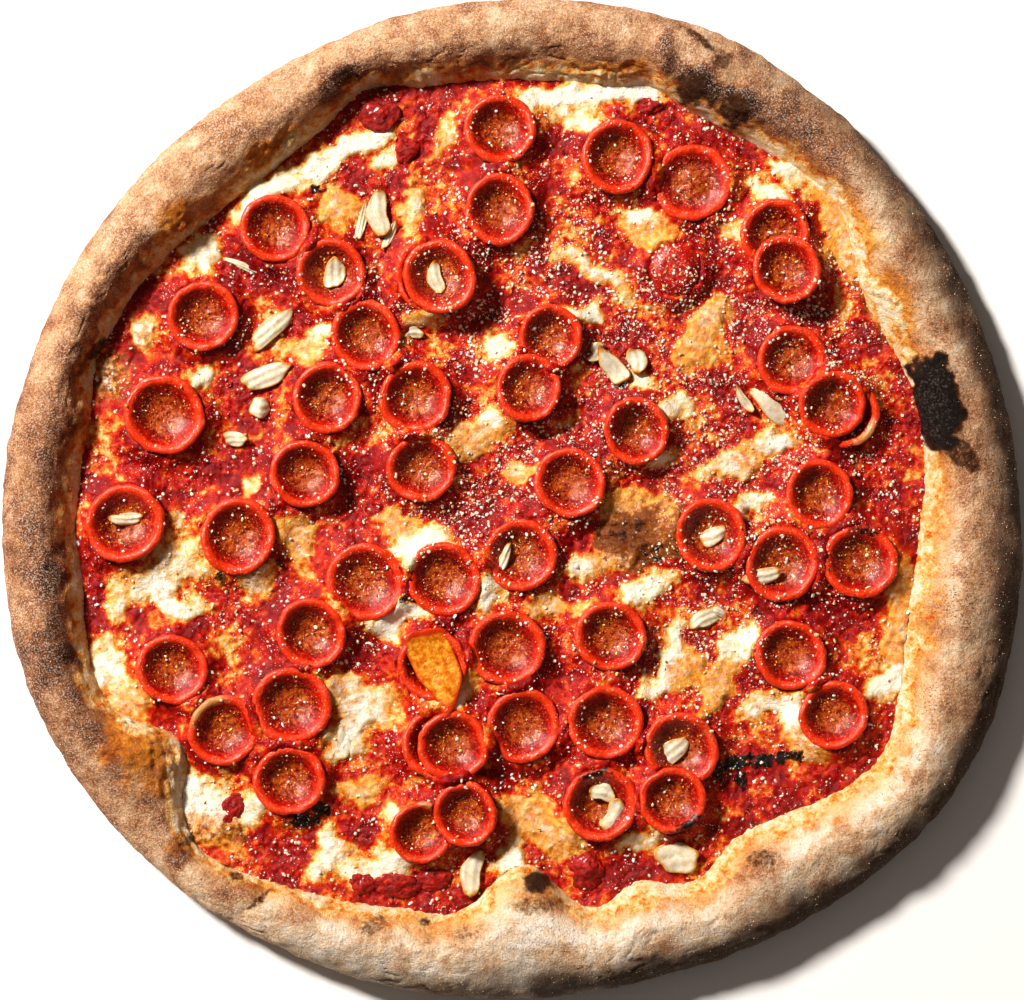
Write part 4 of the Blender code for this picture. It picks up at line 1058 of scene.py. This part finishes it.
def fried_lip(curl, corners, degrees, lip):
    """How crisp and how burnt each corner of a slice is, from 0 to 1."""
    crisp = np.zeros(len(corners))
    char = 0.5 * eased(lumps(corners, 9 * MM, 26), 0.35, 0.8) * lip
    for number, direction, spread, tan, burnt in CRISP_LIPS:
        if number == curl.number:
            facing = np.exp(-((turned_from(degrees, direction) / spread) ** 2))
            facing = np.append(np.tile(facing, (len(corners) - 2) // len(degrees)), [0, 0])
            share = facing * eased(lip, 0.1, 0.8)
            crisp = np.maximum(crisp, tan * share)
            char = np.maximum(char, burnt * share)
    return {"crisp": crisp, "char": char}


def press_under(corners, upper):
    """Lowers a slice's corners to a gap below the underside of the slice that lies over it."""
    own = (corners - [*upper.middle, upper.lift]) @ curl_turn(upper)
    out = np.linalg.norm(own[:, :2], axis=1) / upper.radius
    underside = np.interp(out, *zip(*CURL_SECTION[1:6])) * upper.height - STACK_GAP
    corners[:, 2] -= np.where(out < 1.0, np.maximum(own[:, 2] - underside, 0), 0)


def make_pepperoni(curls, material):
    """One piece for each slice, standing for its own solid. Those on top come first, to press the others."""
    made = {}
    for curl in reversed(curls):
        corners, faces, numbers = curl_mesh(curl)
        piece = add_piece(f"pepperoni_slice_{curl.number:02}", corners, faces, material, numbers)
        settle(piece, "pepperoni", f"pepperoni_{curl.number:02}")
        made[curl.number] = (corners, faces, numbers)
    return made


# The sauce and the cheese


def lattice_inside():
    """Square lattice over the toppings, out to a margin past their edge: places, which of them are inside,
    and how many there are to a row."""
    half = int((OUTER_RADIUS + 8 * MM) / LATTICE_SPACING)
    line = np.arange(-half, half + 1) * LATTICE_SPACING
    x, y = np.meshgrid(line, line)
    places = np.stack([x.ravel(), y.ravel()], 1)
    offset = places - from_photo(*DOUGH_MIDDLE)
    degrees = np.degrees(np.arctan2(offset[:, 1], offset[:, 0])) % 360
    inside = np.linalg.norm(offset, axis=1) < topping_radius(degrees) + LATTICE_MARGIN
    return places, inside, len(line)


def lattice_faces(kept, width):
    """The faces of a square lattice whose four corners are all kept, as numbers of the lattice's corners."""
    first = np.arange(len(kept)).reshape(width, width)[:-1, :-1].ravel()
    quads = np.stack([first, first + 1, first + width + 1, first + width], 1)
    return quads[kept[quads].all(1)]


def cheese_cover(places):
    """How much of what lies over each place is cheese, from 0 to 1, and its thickness, gold and brown."""
    bent = places + np.stack([lumps(places, 11 * MM, 44), lumps(places, 11 * MM, 45)], 1) * 3.2 * MM
    bent += np.stack([lumps(places, 4 * MM, 46), lumps(places, 4 * MM, 47)], 1) * 1.6 * MM
    total, thickness, gold, brown = np.zeros((4, len(places)))
    for *oval, thick, patch_gold, patch_brown in CHEESE_PATCHES:
        weight = np.exp(-1.1 * oval_reach(bent, *oval) ** 3)
        total += weight
        thickness += weight * thick * MM
        gold += weight * patch_gold
        brown += weight * patch_brown
    gold, brown, thickness = (part / np.maximum(total, 0.05) for part in (gold, brown, thickness))
    veil = layered(bent, (0.36, 15, 41), (0.26, 6, 42)) + 0.16 * lumps(places, 2.6 * MM, 43)
    amount = 0.2 + 0.75 * np.minimum(total, 1.15) + veil * (1 - 0.4 * np.minimum(total, 1))
    return np.clip(amount, 0, 1), thickness, gold, np.clip(brown, 0, 1)


def topping_height(places, melt, thickness, curls):
    """Height of the sauce and cheese: crumbly where it is sauce, rounded where it is cheese, level under the
    slices and drawn up against them."""
    pulp = 0.75 + 0.55 * lumps(places, 8 * MM, 31) + 0.8 * np.abs(lumps(places, 3.6 * MM, 32))
    pulp += 0.8 * (1 - pebbles(places, 2.4 * MM, 33)) ** 2 + 0.3 * lumps(places, 1.3 * MM, 34)
    dome = eased(melt, 0.3, 0.95)
    body = 0.9 + layered(places, (0.3, 6, 35), (0.35, 2.8, 36), (0.14, 1.4, 37))
    height = SKIN_TOP + (pulp * (1 - dome) + body * dome) * MM + thickness * dome * 0.8
    uneven = 1 + 0.35 * lumps(places, 9 * MM, 38)
    sunk = SKIN_TOP - SKIN_GAP
    for curl in curls:
        distance = np.linalg.norm(places - curl.middle, axis=1) / curl.radius
        drawn = DRAWN_UP * uneven * np.exp(-(((distance - 0.98) / 0.32) ** 2))
        height += np.where(distance > 0.7, drawn, 0)
        height = np.where(distance < 0.78, sunk + (height - sunk) * eased(distance, 0.6, 0.78), height)
    return height


def make_toppings(curls, material):
    """The skin of sauce and cheese, as one lattice: where there is more cheese than sauce it is one piece,
    and the rest is the other."""
    places, inside, width = lattice_inside()
    for curl in curls:
        inside &= np.linalg.norm(places - curl.middle, axis=1) > 0.62 * curl.radius
    melt, thickness, gold, brown, height = np.zeros((5, len(places)))
    melt[inside], thickness[inside], gold[inside], brown[inside] = cheese_cover(places[inside])
    height[inside] = topping_height(places[inside], melt[inside], thickness[inside], curls)
    warp = layered(places, (0.45, 3, 51), (0.45, 1.4, 52))
    numbers = {"melt": melt, "gold": gold, "brown": brown, "char": marked(places, SAUCE_CHAR, warp)}
    height += numbers["char"] * MM * (0.3 + 0.8 * np.abs(lumps(places, 2 * MM, 53)))
    faces = lattice_faces(inside, width)
    cheesy = melt[faces].mean(1) > CHEESE_SHARE
    made = []
    for name, chosen in (("tomato_sauce", faces[~cheesy]), ("melted_mozzarella", faces[cheesy])):
        used, renumbered = np.unique(chosen, return_inverse=True)
        corners = np.column_stack([places[used], height[used]])
        own = {key: values[used] for key, values in numbers.items()}
        piece = add_piece(name, corners, renumbered.reshape(chosen.shape), material, own)
        made.append(settle(piece, "sauce_and_cheese", "sauce_and_cheese"))
    return made


# Garlic and tomato


def spun(corners, turn):
    """Corners turned about the vertical, by so many degrees."""
    return corners @ np.array(Matrix.Rotation(math.radians(turn), 3, "Z")).T


def garlic_mesh(middle, length, width, thickness, turn, seed):
    """Corners and faces of one slice of garlic, and how toasted each corner is: a teardrop plate, bent and
    curled, with faint fibres along it and a toasted edge."""
    around = 44
    shares = np.concatenate([np.linspace(0.1, 0.97, 11), [1.0, 0.98], np.linspace(0.95, 0.1, 7)])[:, None]
    face = np.concatenate([np.full(11, 0.5), [0.0, -0.4], np.full(7, -0.5)])[:, None]
    angle = np.arange(around) * 2 * math.pi / around
    wobble = 1 + 0.12 * np.cos(2 * angle + seed) + 0.09 * np.cos(3 * angle + 2 * seed)
    wobble += 0.05 * np.cos(5 * angle + 5 * seed)
    x = shares * np.cos(angle)[None] * length * wobble
    y = shares * np.sin(angle)[None] * width * wobble * (1 - 0.34 * np.cos(angle) ** 3)
    sideways = 0.18 * width * np.sin(2.2 * x / length + seed)
    fibres = 0.14 * MM * np.cos(y / width * 8 + seed) * (face > 0.3)
    curled = math.copysign(1, math.sin(seed * 3))
    bend = 1.3 * MM * (x / length) ** 2 * curled + 0.7 * MM * (x / length) * (y / width)
    bend += 0.5 * MM * np.sin(3 * x / length + 2 * seed)
    z = face * thickness * (1.15 - 0.6 * shares**2) + fibres + bend
    centre = np.array([0, 0.18 * width * math.sin(seed), 0.5 * MM * math.sin(2 * seed)])
    poles = [centre + [0, 0, side * thickness * 0.57] for side in (1, -1)]
    corners = np.vstack([np.dstack([x, y + sideways, z]).reshape(-1, 3), poles])
    toast = 0.12 + 0.4 * eased(shares, 0.75, 1.0) + 0.4 * eased(np.abs(x / length), 0.6, 1.1)
    toast = np.append(np.clip(toast, 0, 1).ravel(), [0.05, 0.05])
    faces = ring_faces(len(shares), around, len(shares) * around, len(shares) * around + 1)
    return spun(corners, turn) + middle, [face_corners[::-1] for face_corners in faces], toast


def add_garlic(name, slices, material):
    """Garlic slices as one piece. Each is its middle, its sizes in mm and its turn."""
    parts = []
    for seed, (middle, length, width, thickness, turn) in enumerate(slices):
        sizes = (length * MM, width * MM, thickness * MM)
        parts.append(garlic_mesh(middle, *sizes, turn, seed * 1.7 + sizes[0] * 900))
    corners, faces, toast = joined(parts)
    return add_piece(name, corners, faces, material, {"toast": toast})


def make_garlic(curls, material):
    """The five large slices stand for their solids, and the rest are one scattered piece."""
    for number, (pixel_x, pixel_y, length, width, thickness, turn) in enumerate(GARLIC_SLICES, start=1):
        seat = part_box(f"garlic_slice_{number}")[0].z
        middle = over_photo(pixel_x, pixel_y, seat + GARLIC_RISE + thickness * MM / 2)
        slices = [(middle, length, width, thickness, turn)]
        piece = add_garlic(f"garlic_slice_{number}_roasted", slices, material)
        settle(piece, "garlic", f"garlic_slice_{number}")
    small = []
    for pixel_x, pixel_y, *sizes in SMALL_GARLIC:
        small.append((over_photo(pixel_x, pixel_y, SMALL_GARLIC_HEIGHT), *sizes))
    for number, length, width, turn, (aside, along) in GARLIC_IN_CURLS:
        curl = curls[number - 1]
        place = curl.middle + np.array([aside, along]) * MM
        out = float(np.linalg.norm([aside, along])) * MM / curl.radius
        height = curl.seat + PEPPERONI_THICKNESS + 0.9 * MM + curl.height * 0.7 * out**2
        small.append((np.array([*place, height]), length, width, 1.5, turn))
    settle(add_garlic("small_garlic", small, material), "garlic")


def make_flap(curls, material):
    """A skin of cheese, a teardrop plate, that lies over one slice and reaches out past its lip."""
    number, pixel_x, pixel_y, length, width, turn = FLAP
    curl = curls[number - 1]
    middle = over_photo(pixel_x, pixel_y, curl.seat + curl.height - 0.4 * MM)
    settle(add_garlic("golden_skin", [(middle, length, width, 1.2, turn)], material), "pepperoni")


def make_tomato(material):
    """Uneven pieces of tomato, sunk in the sauce."""
    work = bmesh.new()
    bmesh.ops.create_icosphere(work, subdivisions=5, radius=1)
    ball = np.array([vertex.co for vertex in work.verts])
    faces = [[vertex.index for vertex in face.verts] for face in work.faces]
    work.free()
    parts = []
    for seed, (pixel_x, pixel_y, length, width, thickness, turn) in enumerate(TOMATO_PIECES):
        bulge = 1 + 0.3 * lumps(ball + seed * 5, 0.9, 71) + 0.14 * lumps(ball, 0.35, 72)
        bulge += 0.06 * lumps(ball, 0.15, 73)
        corners = spun(ball * bulge[:, None] * np.array([length, width, thickness / 2]) * MM, turn)
        corners += over_photo(pixel_x, pixel_y, SKIN_TOP + 0.25 * thickness * MM)
        parts.append((corners, faces, np.zeros(len(corners))))
    corners, faces, _ = joined(parts)
    settle(add_piece("tomato_pieces", corners, faces, material), "sauce_and_cheese")


# Scattered crumbs, by Geometry Nodes


def crumb_tree():
    """Scatters crumbs over a mesh as thickly as its "crumbs" attribute says. Each is a knocked-about ball of
    few faces, turned, stretched, sized and toned by chance, with many small ones to each large one."""
    tree = bpy.data.node_groups.new("Scattered crumbs", "GeometryNodeTree")
    for name, kind in CRUMB_INPUTS.items():
        tree.interface.new_socket(name, in_out="INPUT", socket_type=f"NodeSocket{kind}")
    tree.interface.new_socket("Geometry", in_out="OUTPUT", socket_type="NodeSocketGeometry")
    group = tree.nodes.new("NodeGroupInput")
    geometry, number, smallest, largest, lift, sides, rings, knock, seed, material = group.outputs[:10]
    density = add_node(tree, "product", add_node(tree, "named number", "crumbs"), number)
    points = add_node(tree, "points on faces", geometry, density, seed)
    points = add_node(tree, "moved", points, add_node(tree, "upward", lift))
    ball = add_node(tree, "ball", sides, rings, 1.0)
    few_large = add_node(tree, "power", add_node(tree, "chance", 0.0, 1.0, seed), 2.2)
    size = add_node(tree, "range", few_large, smallest, largest)
    shape = add_node(tree, "chance vector", (0.5, 0.5, 0.4), (1.5, 1.0, 0.8), seed)
    turn = add_node(tree, "chance vector", (0.0, 0.0, 0.0), (math.tau, math.tau, math.tau), seed)
    crumbs = add_node(tree, "instances", points, ball, turn, add_node(tree, "scaled vector", shape, size))
    crumbs = add_node(tree, "numbered", crumbs, "tone", add_node(tree, "chance", 0.0, 1.0, 4))
    crumbs = add_node(tree, "realized", crumbs)
    push = add_node(tree, "chance vector", (-1.0, -1.0, -1.0), (1.0, 1.0, 1.0), 5)
    crumbs = add_node(tree, "moved", crumbs, add_node(tree, "scaled vector", push, knock))
    add_node(tree, "given out", add_node(tree, "dressed", crumbs, material))
    return tree


def scatter(name, slot, tree, ground, material):
    """Crumbs over a ground mesh as one plain piece."""
    corners, faces, thickness = ground
    bed = add_piece(f"{name}_bed", corners, faces, material, {"crumbs": thickness})
    modifier = bed.modifiers.new("crumbs", "NODES")
    modifier.node_group = tree
    inputs = [socket for socket in tree.interface.items_tree if socket.in_out == "INPUT"][1:]
    for socket, value in zip(inputs, (*CRUMBS[name], material)):
        modifier[socket.identifier] = value
    bpy.context.view_layer.update()
    evaluated = bed.evaluated_get(bpy.context.evaluated_depsgraph_get())
    mesh = bpy.data.meshes.new_from_object(evaluated)
    mesh.name = name
    mesh.vertices.foreach_set("co", np.clip(vertex_places(mesh), SOLID_BOX[0], SOLID_BOX[1]).ravel())
    bpy.data.objects.remove(bed, do_unlink=True)
    mesh.shade_flat()
    settle(new_object(name, mesh), slot)


def topping_ground(toppings, slices, curls):
    """The toppings' upper surfaces, with how thickly hard cheese was grated over each spot."""
    grounds = []
    for piece in toppings:
        corners, faces = mesh_arrays(piece)
        share = 1 - 0.8 * eased(piece_numbers(piece, "melt"), 0.4, 0.7)
        for curl in curls:
            share *= np.linalg.norm(corners[:, :2] - curl.middle, axis=1) > curl.radius * 0.96
        grounds.append((corners, faces, share))
    for number, (corners, faces, numbers) in slices.items():
        share = 0.25 * numbers["inside"] + 0.2 * numbers["lip"]
        if number == DOMED_SLICE:
            share = eased(corners[:, 2], SKIN_TOP + 3 * MM, SKIN_TOP + 6 * MM)
        grounds.append((corners, faces, share))
    corners, faces, thickness = joined(grounds)
    spread = np.zeros(len(corners))
    for pixel_x, pixel_y, reach in GRATED_MOST:
        away = np.linalg.norm(corners[:, :2] - from_photo(pixel_x, pixel_y), axis=1)
        spread = np.maximum(spread, np.exp(-((away / (reach * MM)) ** 2)))
    patchy = eased(lumps(corners[:, :2], 9 * MM, 81), -0.5, 0.6)
    return corners, faces, thickness * (0.3 + 0.7 * spread) * (0.15 + 0.85 * patchy)


def make_crumbs(toppings, crust, slices, curls):
    """Grated hard cheese and its dust, the grains of it that fried in the slices, herb flecks, and flour."""
    tree = crumb_tree()
    creams = [(0.0, "#FFFAF0"), (0.5, "#FFEFD8"), (0.82, "#FBD9A8"), (1.0, "#E9A458")]
    hard_cheese = crumb_material("Grated hard cheese", creams, 0.35, waxy=1.0)
    ground = topping_ground(toppings, slices, curls)
    scatter("grated_cheese", "sauce_and_cheese", tree, ground, hard_cheese)
    scatter("cheese_dust", "sauce_and_cheese", tree, ground, hard_cheese)
    golds = [(0.0, "#FFE2A0"), (0.3, "#F0A83C"), (0.7, "#D07F20"), (1.0, "#9A4510")]
    fried = crumb_material("Cheese fried in fat", golds, 0.3)
    insides = joined((corners, faces, numbers["depth"] ** 1.5) for corners, faces, numbers in slices.values())
    scatter("fried_cheese_crumbs", "pepperoni", tree, insides, fried)
    herb = crumb_material("Burnt herb flecks", [(0.0, "#120C07"), (1.0, "#3A2912")], 0.6)
    scatter("herb_flecks", "sauce_and_cheese", tree, ground, herb)
    corners, faces = mesh_arrays(crust)
    floured = eased(corners[:, 2], 3 * MM, 9 * MM) * piece_numbers(crust, "flour")
    tans = [(0.0, "#FFF3DE"), (0.5, "#EBC594"), (0.8, "#C07A3C"), (1.0, "#6E3A18")]
    flour = crumb_material("Flour and semolina", tans, 0.8, 0.2)
    scatter("flour_and_semolina", "baked_crust", tree, (corners, faces, floured), flour)


# Stage, light and camera


def make_stage():
    """A plain pale floor, a strong studio lamp from the far left, and a weak warm fill."""
    material, tree, shader, _, _ = new_material("Pale floor")
    finish_surface(tree, shader, Base_Color="#F7F7F6", Roughness=0.8, Specular_IOR_Level=0.2)
    square = [(-1, -1), (1, -1), (1, 1), (-1, 1)]
    corners = [(x * FLOOR_REACH, y * FLOOR_REACH, FLOOR_HEIGHT) for x, y in square]
    add_piece("floor", corners, [(0, 1, 2, 3)], material, smooth=False)
    world = bpy.data.worlds.new("Studio")
    bpy.context.scene.world = world
    world.use_nodes = True
    fill = world.node_tree.nodes["Background"]
    feed(world.node_tree, fill.inputs, (FILL_COLOUR, FILL_STRENGTH))
    lamp = bpy.data.lights.new("key", "AREA")
    lamp.shape = "DISK"
    lamp.size = LAMP_SIZE
    lamp.energy = LAMP_POWER
    lamp.color = linear(LAMP_COLOUR)[:3]
    azimuth, elevation = math.radians(LAMP_AZIMUTH), math.radians(LAMP_ELEVATION)
    flat = math.cos(elevation)
    away = Vector((math.cos(azimuth) * flat, math.sin(azimuth) * flat, math.sin(elevation)))
    holder = new_object("key", lamp)
    holder.location = away * LAMP_DISTANCE
    holder.rotation_mode = "QUATERNION"
    holder.rotation_quaternion = (-away).to_track_quat("-Z", "Y")


def make_camera():
    """Straight above, with a long lens, so that a pixel is a photograph's pixel on the rim's widest line."""
    camera = bpy.data.cameras.new("camera")
    camera.sensor_width = SENSOR_WIDTH
    camera.lens = SENSOR_WIDTH * CAMERA_DISTANCE / (IMAGE_SIZE[0] * PHOTO_SCALE)
    holder = new_object("camera", camera)
    holder.location = over_photo(IMAGE_SIZE[0] / 2, IMAGE_SIZE[1] / 2, CAMERA_DISTANCE + RIM_WIDEST)
    bpy.context.scene.camera = holder


def build():
    scene = bpy.context.scene
    scene.view_settings.view_transform = "Standard"
    scene.view_settings.look = "Medium High Contrast"
    make_camera()
    make_stage()
    curls = plan_curls()
    crust = make_crust(crust_material())
    toppings = make_toppings(curls, topping_material())
    slices = make_pepperoni(curls, pepperoni_material())
    make_garlic(curls, garlic_material())
    make_flap(curls, flap_material())
    make_tomato(tomato_material())
    make_crumbs(toppings, crust, slices, curls)


build()
